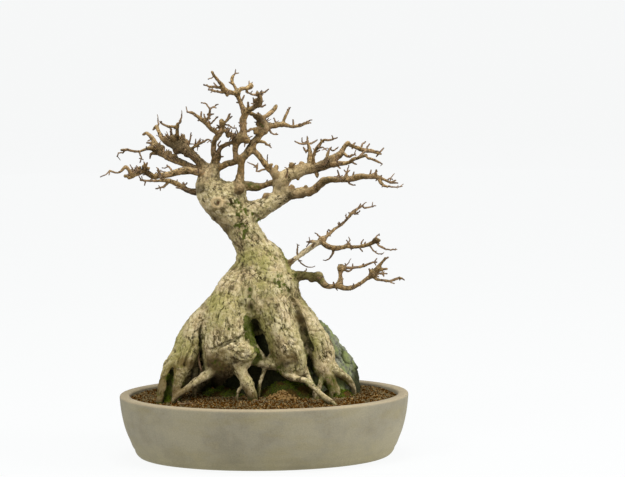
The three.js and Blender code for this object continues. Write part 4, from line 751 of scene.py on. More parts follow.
def nearest_on(path, x, z):
    """The nearest point of a path's middle line to a point of the front view, with its radius and
    depth, all shared out along the stretch that it lies on."""
    path = np.asarray(path, float)
    start, along = path[:-1], np.diff(path, axis=0)
    part = ((x - start[:, 0]) * along[:, 0] + (z - start[:, 1]) * along[:, 1]) / (along[:, :2] ** 2).sum(1)
    spots = start + along * np.clip(part, 0, 1)[:, None]
    return spots[np.argmin(np.hypot(spots[:, 0] - x, spots[:, 1] - z))]


def with_depth(path, lean, grown_on):
    """A limb's path with its foot on the limb it grows on, and its depth going on from there to the
    lean at its tip, in step with its length."""
    path = np.asarray(path, float)
    foot = nearest_on(grown_on, path[0, 0], path[0, 1])
    path = np.vstack([[foot[0], foot[1], min(path[0, 2] * 1.15, foot[2] * 0.95)], path])
    run = np.concatenate([[0], np.cumsum(np.hypot(*np.diff(path[:, :2], axis=0).T))])
    return np.column_stack([path, foot[3] + lean * run / run[-1]])


grown = dict(TRUNK_AND_ROOTS)
limb_paths = []
for name, on, lean, path in LIMBS:
    full = with_depth(path, lean, grown[on])
    limb_paths.append(full)
    if name:
        grown[name] = full

# Trunk, roots and limbs
# One skin of bark over all the thick wood. The wood is the set of points nearer to a stem's middle
# line than the stem's radius there. Where two stems meet, the smaller of the two distances is
# rounded off, as wood grows into a collar, and the clefts between the roots are taken out again.
FAR = 9.0
# How far the skins of two pieces of wood are rounded into each other, and the edges of a cut
TRUNK_MELT = 9.0
INNER_MELT = 5.0
CLEFT_MELT = 4.0
CREASE_MELT = 1.6
# Wood this far off along a way shelters a point of the bark
SHELTER_REACHES = (5.5, 10, 16, 23, 30)
# The next stem's bark pattern starts this far over, so that no two stems share one
STEM_SHIFT = 70.0


def melt(a, b, reach):
    """The smaller of two distances, less a bump that is widest where they are equal and ends where
    they differ by reach."""
    part = np.clip(0.5 + 0.5 * (b - a) / reach, 0, 1)
    return b + (a - b) * part - reach * part * (1 - part)


def rod_block(axes, low, step, shape, points):
    """Distances to a row of tapered rods at the grid corners round them: the way to the nearest spot
    of a rod's middle line, less its radius there. Gives the block and where it lies in the grid."""
    wide = points[:, 3:4] + FAR
    first = np.clip(np.floor(((points[:, :3] - wide).min(0) - low) / step), 0, shape).astype(int)
    last = np.clip(np.ceil(((points[:, :3] + wide).max(0) - low) / step) + 1, 0, shape).astype(int)
    if np.any(last <= first):
        return None, None
    block = np.full(last - first, FAR, np.float32)
    for a, b in zip(points, points[1:]):
        wide = max(a[3], b[3]) + FAR
        start = np.clip(np.floor((np.minimum(a[:3], b[:3]) - wide - low) / step), first, last).astype(int)
        end = np.clip(np.ceil((np.maximum(a[:3], b[:3]) + wide - low) / step) + 1, first, last).astype(int)
        if np.any(end <= start):
            continue
        x, y, z = (np.float32(axes[i][start[i]:end[i]] - a[i]) for i in range(3))
        x, y, z = x[:, None, None], y[None, :, None], z[None, None, :]
        along = (b - a)[:3]
        t = np.clip((x * along[0] + y * along[1] + z * along[2]) / max(along @ along, 1e-6), 0, 1)
        away = np.sqrt((x - t * along[0]) ** 2 + (y - t * along[1]) ** 2 + (z - t * along[2]) ** 2)
        part = block[tuple(slice(s - f, e - f) for s, e, f in zip(start, end, first))]
        np.minimum(part, away - a[3] - t * (b[3] - a[3]), out=part)
    return block, tuple(slice(f, e) for f, e in zip(first, last))


def wood_field(low, high, step, stems, clefts):
    """Distance to the skin of the wood at each corner of a grid, negative inside, as far as FAR,
    with the clefts taken out and without."""
    shape = np.ceil((high - low) / step).astype(int) + 1
    axes = [low[i] + step * np.arange(shape[i]) for i in range(3)]
    field = np.full(shape, FAR, np.float32)
    for points, reach in stems:
        block, where = rod_block(axes, low, step, shape, points)
        if block is not None:
            near = block < FAR
            part = field[where]
            part[near] = melt(part[near], block[near], reach)
    uncut = field.copy()
    for points, reach in clefts + [(on_front(uncut, low, step, path), CREASE_MELT) for path in CREASES]:
        block, where = rod_block(axes, low, step, shape, points)
        if block is not None:
            near = block < FAR
            part = field[where]
            part[near] = -melt(-part[near], block[near], reach)
    return field, uncut


def sample(field, low, step, points):
    """The grid's value at any point, shared out among the eight corners of the cell it is in."""
    places = np.clip((points - low) / step, 0, np.array(field.shape) - 1.001)
    cells = places.astype(int)
    part = places - cells
    total = np.zeros(len(points))
    for corner in np.ndindex(2, 2, 2):
        weight = np.prod(np.where(corner, part, 1 - part), axis=1)
        total += weight * field[tuple((cells + corner).T)]
    return total


def on_front(field, low, step, path):
    """Rods along a crease: each point is slid along its line of sight to where that first meets the
    wood, and then back so that its rod cuts in as far as asked."""
    path = np.asarray(path, float)
    path = curve(np.column_stack([path[:, 0], 0 * path[:, 0], path[:, 1], path[:, 2:]]), 3.0)
    depths = np.arange(low[1], 60.0, 1.0)
    x, z, radius, cut = (np.repeat(path[:, i], len(depths)) for i in (0, 2, 3, 4))
    sight = sight_points(np.column_stack([x, z, radius, np.tile(depths, len(path))]))
    met = (sample(field, low, step, sight[:, :3]) < 0).reshape(len(path), -1)
    first = depths[np.argmax(met, axis=1)]
    depth = first - path[:, 3] + path[:, 4]
    return sight_points(np.column_stack([path[:, 0], path[:, 2], path[:, 3], depth]))


def slope(field, low, step, points):
    """The way in which the field rises fastest, from its values half a cell either side."""
    ways = [
        sample(field, low, step, points + way) - sample(field, low, step, points - way)
        for way in np.eye(3) * step * 0.5
    ]
    return unit(np.stack(ways, -1))


def skin(field, low, step):
    """The surface where a field passes zero: a point in each cell that it crosses, at the mean of
    its crossings of the cell's edges, and a four-cornered face round each edge that it crosses."""
    inside = field < 0
    count = sum(inside[tuple(slice(c, s - 1 + c) for c, s in zip(corner, inside.shape))].astype(np.uint8)
                for corner in np.ndindex(2, 2, 2))
    crossed = (count > 0) & (count < 8)
    cell = np.argwhere(crossed)
    number = np.full(crossed.shape, -1, np.int32)
    number[crossed] = np.arange(len(cell))
    value = {c: field[tuple((cell + c).T)] for c in np.ndindex(2, 2, 2)}
    total = np.zeros((len(cell), 3))
    hits = np.zeros(len(cell))
    for corner in np.ndindex(2, 2, 2):
        for axis in range(3):
            if corner[axis] == 0:
                other = tuple(c + (i == axis) for i, c in enumerate(corner))
                passes = (value[corner] < 0) != (value[other] < 0)
                t = np.where(passes, value[corner] / np.where(passes, value[corner] - value[other], 1), 0)
                spot = np.array(corner, float) + t[:, None] * np.eye(3)[axis]
                total += spot * passes[:, None]
                hits += passes
    points = (cell + total / hits[:, None]) * step + low
    faces = []
    for axis in range(3):
        one, two = (axis + 1) % 3, (axis + 2) % 3
        keep = [slice(1, -1)] * 3
        keep[axis] = slice(0, -1)
        ahead = list(keep)
        ahead[axis] = slice(1, None)
        here = inside[tuple(keep)]
        edge = np.argwhere(here != inside[tuple(ahead)])
        shift = np.ones(3, int)
        shift[axis] = 0
        edge += shift
        corners = []
        for back_one, back_two in ((0, 0), (1, 0), (1, 1), (0, 1)):
            spot = edge.copy()
            spot[:, one] -= back_one
            spot[:, two] -= back_two
            corners.append(number[tuple(spot.T)])
        quad = np.stack(corners, -1)
        outward = inside[tuple(edge.T)]
        quad[~outward] = quad[~outward, ::-1]
        faces.append(quad)
    return points, np.vstack(faces)


def shelter(field, low, step, points, ways):
    """How closed in a point is: of 16 ways round its outward way, the share that meets wood, or the
    soil, within 30 mm. The grid's nearest corner is read at five distances."""
    side = unit(np.cross(ways, [0.31, 0.52, 0.8]))
    third = np.cross(ways, side)
    total = np.zeros(len(points))
    for tilt in (0.4, 0.95):
        for angle in np.linspace(0, 2 * np.pi, 8, endpoint=False) + tilt:
            way = ways * np.cos(tilt) + (side * np.cos(angle) + third * np.sin(angle)) * np.sin(tilt)
            met = np.zeros(len(points), bool)
            for reach in SHELTER_REACHES:
                spots = points + way * reach
                cells = np.clip(np.round((spots - low) / step), 0, np.array(field.shape) - 1).astype(int)
                met |= (field[tuple(cells.T)] < 0) | (spots[:, 2] < SOIL_EDGE + 5)
            total += met
    return total / 16


def grain_places(points, stems):
    """Where each point lies on its nearest stem: two distances across the stem from its middle line
    and the run along it, plus the stem's radius there. The ways across are carried along the stem
    without twisting, so that bark drawn on these places follows the wood."""
    best = np.full(len(points), np.inf)
    grain = np.zeros((len(points), 3))
    thick = np.full(len(points), 1.0)
    for order, (path, _) in enumerate(stems):
        way = unit(np.gradient(path[:, :3], axis=0))
        across = []
        side = np.array([0, 1.0, 0]) if abs(way[0, 1]) < 0.8 else np.array([1.0, 0, 0])
        for one in way:
            side = side - one * (side @ one)
            side = side / np.linalg.norm(side)
            across.append(side)
        run = run_along(path)
        reach = path[:, 3:4] + 8
        low, high = (path[:, :3] - reach).min(0), (path[:, :3] + reach).max(0)
        near = np.nonzero(np.all((points > low) & (points < high), axis=1))[0]
        for i in range(len(path) - 1):
            a, b = path[i], path[i + 1]
            wide = max(a[3], b[3]) + 8
            close = near[np.all((points[near] > np.minimum(a[:3], b[:3]) - wide)
                                & (points[near] < np.maximum(a[:3], b[:3]) + wide), axis=1)]
            along = (b - a)[:3]
            t = np.clip((points[close] - a[:3]) @ along / max(along @ along, 1e-6), 0, 1)[:, None]
            off = points[close] - a[:3] - t * along
            radius = a[3] + t[:, 0] * (b[3] - a[3])
            gap = np.linalg.norm(off, axis=1) - radius
            nearer = gap < best[close]
            hit, off, t = close[nearer], off[nearer], t[nearer]
            best[hit] = gap[nearer]
            side = across[i] + t * (across[i + 1] - across[i])
            third = np.cross(way[i] + t * (way[i + 1] - way[i]), side)
            shift = STEM_SHIFT * order
            along = run[i] + t[:, 0] * (run[i + 1] - run[i])
            grain[hit] = np.stack([(off * side).sum(1) + shift, (off * third).sum(1), along], -1)
            thick[hit] = radius[nearer]
    return grain, thick


def nearest_seeds(points, size, seed):
    """Plates of bark: seeds are scattered one to a cell, and each point belongs to its nearest one.
    Gives that seed's own number from 0 to 1, and how much farther off the next seed is."""
    spots = points / size
    home = np.floor(spots).astype(np.int64)
    best = np.full(len(points), 9.0)
    second = best.copy()
    tone = np.zeros(len(points))
    for way in np.ndindex(3, 3, 3):
        cell = home + way - 1
        seeds = cell + np.stack([lattice(cell, seed + i) for i in range(3)], -1)
        away = np.linalg.norm(seeds - spots, axis=1)
        nearer = away < best
        second = np.where(nearer, best, np.minimum(second, away))
        tone = np.where(nearer, lattice(cell, seed + 3), tone)
        best = np.where(nearer, away, best)
    return tone, second - best


def near_spots(points, spots):
    """Sum of bell curves round spots of the front view, each [x, z, radius, strength]."""
    x, z = front_view(points)
    return sum(s * np.exp(-((x - px) ** 2 + (z - pz) ** 2) / r ** 2) for px, pz, r, s in spots)


# Where the bark flakes off in thick plates: [x, z, radius, strength] in the front view
FLAKY = [
    [-46, 186, 16, 1.6], [-30, 176, 12, 1.6], [-52, 164, 10, 1.2], [47, 200, 10, 1.2], [-80, 200, 14, 0.5],
    [108, 180, 12, 0.6], [-100, 240, 10, 0.6], [30, 230, 20, 0.5],
]


def bark_height(points, grain, thick):
    """Height of the bark over the wood: wide swellings, soft flutes and narrow wrinkles that run
    along the stem, short wrinkles across it, plates that lift at their cracks, and lumps. Most are
    lower on thin wood."""
    lengthwise = grain * [1, 1, 0.34]
    swellings = 1.4 * noise(points, 30.0, 30)
    flutes = 1.3 * noise(lengthwise, 15.0, 31) + 0.8 * noise(lengthwise, 7.0, 32)
    here = np.clip(noise(points, 24.0, 34) * 1.6 + 0.5, 0, 1)
    wrinkles = -1.2 * here * np.exp(-(noise(lengthwise, 8.0, 33) / 0.1) ** 2)
    there = np.clip(noise(points, 21.0, 38) * 1.8 + 0.3, 0, 1)
    across = -1.0 * there * np.exp(-(noise(grain * [0.6, 0.6, 1.4], 9.0, 35) / 0.1) ** 2)
    bent = np.stack([noise(points, 9.0, 44), noise(points, 9.0, 45), noise(points, 9.0, 46)], -1) * 5.0
    tone, gap = nearest_seeds(grain * [1, 1, 0.5] + bent, 11.0, 50)
    flaky = np.clip(noise(points, 32.0, 47) * 1.5 + 0.55, 0.15, 1) + near_spots(points, FLAKY)
    plates = flaky * (1.5 * (tone - 0.5) - 1.3 * np.exp(-(gap / 0.09) ** 2))
    lumps = 0.7 * noise(points, 8.5, 36) + 0.8 * noise(points, 4.4, 37)
    slim = np.clip(thick / 17, 0.13, 1)
    lines = wrinkles + across - 1.0 * flaky * np.exp(-(gap / 0.06) ** 2)
    waves = (swellings + flutes + wrinkles + across + plates) * slim
    return waves + lumps * np.clip(thick / 8, 0.75, 1), lines


def plane_points(path):
    """Stem or cleft from [x, z, radius, depth] points, made smooth."""
    path = np.asarray(path, float)
    return curve(sight_points(path), max(2.5, 0.3 * path[:, 2].mean()))


# Roots behind the front ones, that close the hollows under the trunk: [x, z, radius, depth]
INNER_ROOTS = [
    [[-100, 238, 18, 0], [-111, 206, 15, -10], [-116, 180, 11, -20], [-118, 154, 8, -26],
     [-119, 134, 6, -28], [-121, 100, 4, -24]],
    [[-80, 212, 26, 16], [-90, 182, 24, 22], [-98, 152, 21, 30], [-106, 126, 17, 36], [-112, 96, 12, 40]],
    [[-66, 186, 28, 12], [-66, 158, 24, 22], [-68, 128, 20, 32], [-70, 98, 15, 38]],
    [[-36, 190, 24, 10], [-32, 158, 20, 22], [-30, 128, 16, 32], [-30, 98, 12, 38]],
    [[-30, 167, 9, -38], [-14, 167, 9, -40], [0, 164, 9, -40], [14, 160, 9, -38], [30, 156, 9, -34]],
    [[72, 192, 11, 0], [78, 166, 10, -6], [82, 144, 8, -12], [86, 122, 6, -18], [90, 95, 4, -20]],
    [[112, 150, 7, -26], [103, 138, 5.5, -36], [97, 124, 4.5, -42], [93, 96, 3, -44]],
    [[70, 150, 7, -34], [76, 136, 5.5, -42], [84, 122, 4.5, -46], [88, 96, 3, -48]],
    [[50, 272, 10, -18], [62, 246, 11, -24], [70, 222, 11, -27], [77, 198, 9, -27], [84, 176, 7, -24]],
]

# The clefts between the roots: [x, z, radius, depth]
CLEFTS = [
    [[-21, 252, 2, -50], [-18, 242, 5, -50], [-14, 228, 7.5, -50], [-11, 214, 8.5, -52], [-5, 200, 9, -54],
     [1, 188, 7.5, -58], [6, 178, 4.5, -60]],
    [[-20, 248, 3, -34], [-16, 236, 6.5, -34], [-12, 220, 8.5, -34], [-6, 204, 9.5, -36], [1, 190, 8, -40],
     [6, 179, 5, -44]],
    [[-16, 240, 5, -18], [-12, 222, 8, -18], [-6, 204, 9, -20], [1, 189, 7, -26]],
    [[-152, 184, 1.5, -46], [-156, 166, 3.6, -51], [-159, 150, 5, -55], [-162, 134, 6.5, -61],
     [-165, 118, 7, -66], [-168, 100, 7.5, -70], [-169, 84, 8, -72]],
    [[-157, 168, 3, -40], [-160, 150, 4.5, -44], [-163, 132, 6, -50], [-166, 114, 7, -56],
     [-168, 90, 8, -60]],
    [[-131, 168, 2, -46], [-131, 152, 5.5, -46], [-131, 138, 8, -48], [-136, 124, 8, -52],
     [-142, 108, 6, -56]],
    [[58, 252, 2, -42], [62, 241, 4.5, -42], [67, 224, 6, -42], [73, 205, 6.5, -42], [78, 186, 6.5, -42],
     [81, 168, 5.5, -46], [82, 152, 5, -50]],
    [[67, 222, 4, -30], [73, 205, 5.5, -31], [79, 186, 6.5, -32]],
    [[-60, 476, 4, -22], [-60, 484, 7.5, -22], [-59, 490, 8, -22]],
    [[-60, 476, 4, -6], [-60, 484, 7.5, -6], [-59, 490, 8, -6]],
    [[-60, 476, 4, 10], [-60, 484, 7.5, 10], [-59, 490, 8, 10]],
]

# Creases laid on the front of the wood, each a row of [x, z, radius, how far it cuts in]
CREASES = [
    [[-90, 284, 2.5, 2], [-93, 268, 3.5, 4], [-99, 250, 4, 3.6], [-105, 232, 4, 4.6], [-109, 212, 4, 6.5],
     [-111, 195, 4, 9], [-110, 178, 4.4, 9], [-107, 158, 4.6, 9]],
    [[-98, 187, 2, 2], [-90, 187, 2.6, 3], [-79, 190, 3, 4.5], [-66, 197, 3.2, 5.5], [-51, 203, 3.2, 5.5],
     [-39, 211, 3.2, 5.5], [-32, 222, 3, 4.5]],
    [[-22, 296, 2.5, 1.5], [-22, 284, 4.0, 3.0], [-21, 270, 3.2, 3.0], [-19, 258, 3.4, 3.4],
     [-18, 249, 4, 4.5]],
    [[40, 302, 2, 1.6], [46, 286, 3.5, 2.8], [51, 270, 5, 4], [56, 256, 6.5, 6], [61, 244, 7, 7.5],
     [66, 228, 7, 9], [71, 210, 6.5, 11], [76, 192, 6, 12]],
    [[10, 262, 1.8, 1.5], [11, 250, 2, 2.4], [15, 238, 2, 2.4], [12, 226, 1.8, 1.5]],
    [[36, 250, 1.6, 1.2], [37, 232, 2, 2.2], [40, 214, 2, 2.4], [50, 203, 2, 2.4], [60, 196, 1.6, 1.5]],
    [[-62, 236, 2, 1.6], [-60, 224, 2.4, 2.8], [-61, 212, 2, 1.8]],
    [[-97, 232, 1.6, 1.6], [-96, 216, 2, 2.4], [-97, 200, 2, 2.4], [-95, 188, 1.6, 1.5]],
    [[22, 318, 2, 1.6], [24, 306, 2.6, 3], [30, 294, 2.6, 3.2], [38, 284, 2.4, 2.6], [42, 274, 2, 1.6]],
    [[-8, 322, 1.6, 1.4], [6, 304, 2, 2], [20, 300, 2, 2], [34, 300, 1.8, 1.6]],
    [[-34, 176, 1.8, 1.6], [-26, 173, 2, 2.6], [-18, 177, 2, 2.6], [-12, 180, 1.6, 2]],
    [[-62, 186, 1.8, 2], [-50, 180, 2.2, 3], [-40, 172, 2.2, 3], [-32, 170, 2, 2]],
    [[44, 196, 2, 1.6], [52, 192, 2.4, 3], [62, 193, 2, 2]],
    [[100, 214, 1.6, 1.5], [104, 196, 2, 2.4], [103, 178, 2, 2.4], [106, 164, 1.6, 1.4]],
    [[-130, 222, 1.6, 1.4], [-138, 204, 2, 2.4], [-147, 186, 2, 2.4], [-153, 172, 2, 2]],
    [[-118, 208, 1.8, 1.6], [-124, 190, 2.2, 3], [-132, 174, 2.6, 4], [-136, 160, 3, 5]],
    [[2, 366, 1.6, 1.2], [14, 352, 2.2, 2.4], [28, 346, 2.4, 2.8], [40, 342, 2, 1.8]],
    [[-50, 356, 1.6, 1.2], [-38, 350, 2, 2], [-24, 352, 1.8, 1.4]],
    [[-56, 446, 1.8, 1.4], [-48, 430, 2.4, 2.6], [-40, 412, 2.4, 2.8], [-34, 396, 2.2, 2.4],
     [-30, 380, 1.8, 1.4]],
    [[-14, 422, 1.8, 1.6], [-8, 414, 2.2, 2.6], [0, 410, 2, 2]],
]

trunk_path = TRUNK_AND_ROOTS["trunk"][:-2] + [[-10, 264, 54, 14], [-10, 252, 36, 24]]
low_wood = [(plane_points(trunk_path), TRUNK_MELT)]
for name, path in TRUNK_AND_ROOTS.items():
    if name != "trunk":
        stem = plane_points(path)
        stem[:, 3] += 1.2 * np.clip(stem[:, 3] / 15 - 0.4, 0, 1)
        low_wood.append((stem, 2.5 + 4 * min(stem[:, 3].max() / 20, 1)))
low_wood += [(plane_points(path), INNER_MELT) for path in INNER_ROOTS]

# Old pruning wounds and buds that have swollen into knobs: [x, z, radius] on the nearest limb
KNOBS = [
    [-210, 503, 2.6], [-203, 505, 3], [-194, 502, 2.6], [-234, 489, 3], [15.6, 505.5, 3], [24.5, 501, 3.4],
    [51, 466, 3.8], [75, 468, 2.8], [51, 505, 4.5], [68, 508, 4], [-58, 626, 2.6], [-17, 641, 4.2],
    [7, 452, 6.5], [1, 419, 5], [62, 482, 3.6], [95, 487, 3], [-151, 553, 6], [-140, 552, 6],
    [-131, 545, 6], [-163, 553, 5], [-146, 531, 6], [-129, 524, 5], [-122, 530, 5], [-112, 520, 4.5],
    [-172, 536, 5.5], [-184, 540, 5], [-160, 527, 5.5], [-150, 522, 5], [-5, 588, 5.5], [0, 576, 7.5],
    [5, 567, 6], [-10, 562, 4], [-8, 616, 5.5], [-5, 610, 5], [-45, 553, 5], [-33, 556, 5], [-57, 557, 4],
    [-26, 548, 5], [113, 512, 5.5], [122, 516, 5], [105, 508, 5], [30, 470, 7], [40, 462, 6], [24, 488, 6],
    [96, 312, 7.5], [84, 308, 6], [134, 326, 5.6], [190, 317, 6], [199, 324, 4.4], [102, 376, 5.4],
    [195, 374, 4.4],
]


def nearest_wood(x, z):
    """The nearest point of all the limbs' middle lines to a point of the front view."""
    spots = [nearest_on(path, x, z) for path in limb_paths]
    return min(spots, key=lambda spot: np.hypot(spot[0] - x, spot[1] - z) - 0.3 * spot[2])


# The radius of the thinnest wood that the skin's grid can hold. Thinner tips are made with the twigs.
THINNEST = 1.7
high_wood = []
for path in limb_paths:
    if path[:, 2].max() > 2.3:
        stem = curve(sight_points(path), 3.0)
        stem = stem[:max(2, np.count_nonzero(stem[:, 3] > THINNEST - 0.3))]
        high_wood.append((stem, 1.5 + 0.35 * min(stem[:, 3].max(), 16)))
for x, z, radius in KNOBS:
    depth = nearest_wood(x, z)[3]
    front, back = depth - 0.5 * radius, depth + 0.6 * radius
    knob = [[x, z, radius, front], [x + 0.4 * radius, z + 1, radius * 0.8, back]]
    high_wood.append((sight_points(knob), 1.5 + 0.6 * radius))
# A lump of healed wood in front of the fork: [x, z, radius, depth]
FORK_LUMP = [[-42, 461, 9.5, -10], [-38, 466, 8.5, -17]]
high_wood.append((sight_points(FORK_LUMP), 4.0))
wood = low_wood + high_wood
clefts = [(plane_points(path), CLEFT_MELT) for path in CLEFTS]
# A wound over which bark has healed in a ring: x, z and the ring's radius in the front view
SCAR = (-77.0, 442.0, 8.0)


def dressed_wood(low, high, step, keep):
    """Skin of one share of the wood with its bark. keep gives the distance to that share, negative
    inside, and the two shares overlap a little so that no gap shows between them."""
    field, uncut = wood_field(low, high, step, wood, clefts)
    shape = field.shape
    spots = [low[i] + step * np.arange(shape[i]) for i in range(3)]
    share = keep(spots[0][:, None, None], spots[1][None, :, None], spots[2][None, None, :])
    whole = field.copy()
    field = np.maximum(field + 0.5 * np.clip(1 + share / 4, 0, 1), share).astype(np.float32)
    points, quads = skin(field, low, step)
    ways = slope(field, low, step, points)
    grain, thick = grain_places(points, wood)
    height, cracks = bark_height(points, grain, thick)
    x, z = front_view(points)
    from_scar = np.hypot(x - SCAR[0], z - SCAR[1]) + 1.3 * noise(points, 7.0, 48)
    ring = np.exp(-((from_scar - SCAR[2]) / 3.0) ** 2)
    callus = (points[:, 1] < -8) * (ring - 0.9 * np.exp(-(from_scar / 4.5) ** 2))
    height += 2.6 * callus
    # Painted shade: how closed in each point is, and how deep it lies in a cleft, darken the bark nearly to
    # black.
    cut_in = 0.5 * np.clip(-sample(uncut, low, step, points) / 9 - 0.3, 0, 1)
    hollow_shade = shelter(whole, low, step, points, ways) + cut_in
    return points + ways * height[:, None], quads, ways, grain, thick, hollow_shade, height, cracks, callus


# Bark of an old trident maple: thin grey-tan plates over orange-brown, olive where algae grow on it,
# with dark hair cracks between, and moss in the hollows that stay damp. Hollows, clefts and low spots
# of the bark are painted darker, nearly black deep in the hollows: painted shade. Faces that look
# downwards are painted brown and the tops of young wood paler: painted shade and highlight. Flaking
# plates and healed edges are pale, some plates paler still as painted highlights, and places where many
# shoots were cut are nearly black, as are the caves under the roots and the bark below limbs: painted shade.
bark, tree = new_material("old_maple_bark")
place = add(tree, "TexCoord", output="Object")
grain = add(tree, "Attribute", output="Vector", attribute_name="grain")
relief, hollow_shade, moss, olive, young, wrinkles, earthy, under, dark, pale, callus = (
    add(tree, "Attribute", output="Fac", attribute_name=name)
    for name in ("relief", "hollow_shade", "moss", "olive", "young", "wrinkles", "earthy", "under", "dark", "pale",
                 "callus")
)
# Patterns: the size of each in mm, how many finer ones are laid over it, and how strong they are
flakes, clouds, lichen, crazing, pits, tufts = (
    add(tree, "TexNoise", {"Scale": 1000 / size, "Detail": finer, "Roughness": strong}, {"Vector": place})
    for size, finer, strong in (
        (5.5, 6.0, 0.72), (26, 5.0, 0.65), (12, 8.0, 0.78), (21, 3.0, 0.5), (3.4, 3.0, 0.6), (3.0, 5.0, 0.7))
)
# Painted shade: low spots of the bark's relief are painted darker and raised ones paler, over the flakes' own
# tone.
flake_tone_and_relief_shade = add(tree, "Math", {1: 0.04}, {0: relief, 2: flakes}, operation="MULTIPLY_ADD")
old_colour = add(tree, "ValToRGB", links={"Fac": flake_tone_and_relief_shade}, stops=[
    (0.24, "4a3e18"), (0.8, "efe4c6"), (0.37, "988959"), (0.475, "b6a87b"), (0.6, "d6c7a0"),
])
limb_colour = add(tree, "ValToRGB", links={"Fac": flake_tone_and_relief_shade}, stops=[
    (0.28, "2a1c0c"), (0.78, "dcc698"), (0.41, "573f1e"), (0.51, "826840"), (0.63, "ad9263"),
])
aged = add(tree, "Mix", links={0: young, 6: old_colour, 7: limb_colour}, output=2, data_type="RGBA")
algae, crusts, soiled, scuffed_and_highlit = (
    add(tree, "Math", links={0: one, 1: other}, operation="MULTIPLY")
    for one, other in ((clouds, olive), (lichen, olive), (earthy, clouds), (pale, flakes))
)
coloured = stained(tree, aged, [
    ("a78a6a", clouds, 0.54, 0.42, 0.28), ("848049", algae, 0.25, 0.62, 0.75),
    ("a09a50", crusts, 0.4, 0.5, 0.38),
])
lengthwise = add(tree, "Mapping", {"Scale": (1.0, 1.0, 0.5)}, {"Vector": grain})
bend = add(tree, "TexNoise", {"Scale": 1 / 7.0, "Detail": 4.0, "Roughness": 0.6}, {"Vector": grain},
           output="Color")
bent = add(tree, "VectorMath", {1: (11.0, 11.0, 11.0)}, {0: bend, 2: lengthwise}, operation="MULTIPLY_ADD")
across = add(tree, "Mapping", {"Scale": (0.55, 0.55, 1.2)}, {"Vector": bent})
# Cracks between plates: the plates' size in mm, the crazing's values where their cracks are finest and
# widest, the widest, how dark they are, and their colour
crack_lines = []
for spots, size, fine, coarse, widest, share, code in (
    (bent, 11.0, 0.48, 0.66, 0.06, 0.9, "332b0c"), (across, 7.0, 0.5, 0.38, 0.055, 0.6, "3b3411"),
):
    plates = add(tree, "TexVoronoi", {"Scale": 1 / size}, {"Vector": spots}, feature="DISTANCE_TO_EDGE")
    width = add(tree, "MapRange", {"From Min": fine, "From Max": coarse, "To Min": 0.002, "To Max": widest},
                {"Value": crazing})
    off = add(tree, "Math", links={0: plates, 1: width}, operation="DIVIDE")
    line = add(tree, "MapRange", {"From Min": 0.4, "From Max": 1.1, "To Min": share, "To Max": 0.0},
               {"Value": off})
    coloured = add(tree, "Mix", {7: linear(code)}, {0: line, 6: coloured}, output=2, data_type="RGBA")
    crack_lines.append(line)
# Its last layer is painted shade: sheltered hollows and clefts are painted nearly black.
damp_and_shaded = stained(tree, coloured, [
    ("3a3010", wrinkles, -0.4, -1.2, 0.65), ("3a2c18", pits, 0.36, 0.28, 0.5),
    ("5a4620", soiled, 0.12, 0.55, 0.8), ("1c1908", hollow_shade, 0.38, 0.85, 0.93),
])
in_cracks = add(tree, "Math", {1: 0.16}, {0: crack_lines[0], 2: moss}, operation="MULTIPLY_ADD")
moss_edge = add(tree, "Math", links={0: in_cracks, 1: tufts}, operation="ADD")
moss_mask = add(tree, "MapRange", {"From Min": 0.86, "From Max": 1.22, "To Max": 0.9}, {"Value": moss_edge})
moss_colour = add(tree, "ValToRGB", links={"Fac": tufts},
                  stops=[(0.3, "1b2105"), (0.7, "858c38"), (0.5, "465012")])
mossy = add(tree, "Mix", links={0: moss_mask, 6: damp_and_shaded, 7: moss_colour}, output=2, data_type="RGBA")
# Painted shade and highlight: faces that look downwards are painted brown, and the upward faces of young wood
# paler.
sunny = add(tree, "MapRange", {"From Min": 0.4, "From Max": 0.05, "To Max": 0.2}, {"Value": under})
top_highlight = add(tree, "Math", links={0: sunny, 1: young}, operation="MULTIPLY")
# Nearly black where shoots were cut, and painted shade in the caves and below limbs.
cut_over_and_shaded = add(tree, "Math", {1: 0.9}, {0: flakes, 2: dark}, operation="MULTIPLY_ADD")
bark_colour = stained(tree, mossy, [
    ("38290f", under, 0.5, 0.98, 0.62), ("dcc79b", top_highlight, 0.0, 1.0, 1.0),
    ("2e200c", cut_over_and_shaded, 0.75, 1.15, 0.7), ("e6d6ae", scuffed_and_highlit, 0.24, 0.5, 0.55),
    ("c4ab7e", callus, 0.2, 0.7, 0.75), ("4c2f18", callus, -0.2, -0.7, 0.8),
])
crack_edge = add(tree, "Math", {0: 1.0}, {1: crack_lines[0]}, operation="SUBTRACT")
bark_rough = add(tree, "Math", {1: 0.7}, {0: pits, 2: flakes}, operation="MULTIPLY_ADD")
bark_face = add(tree, "Math", {1: 0.6}, {0: crack_edge, 2: bark_rough}, operation="MULTIPLY_ADD")
bark_bump = add(tree, "Bump", {"Strength": 1.0, "Distance": 0.0022}, {"Height": bark_face})
shader = add(tree, "BsdfPrincipled", {"Roughness": 0.9, "IOR": 1.45, "Specular IOR Level": 0.2},
             {"Base Color": bark_colour, "Normal": bark_bump})
add(tree, "OutputMaterial", links={"Surface": shader})
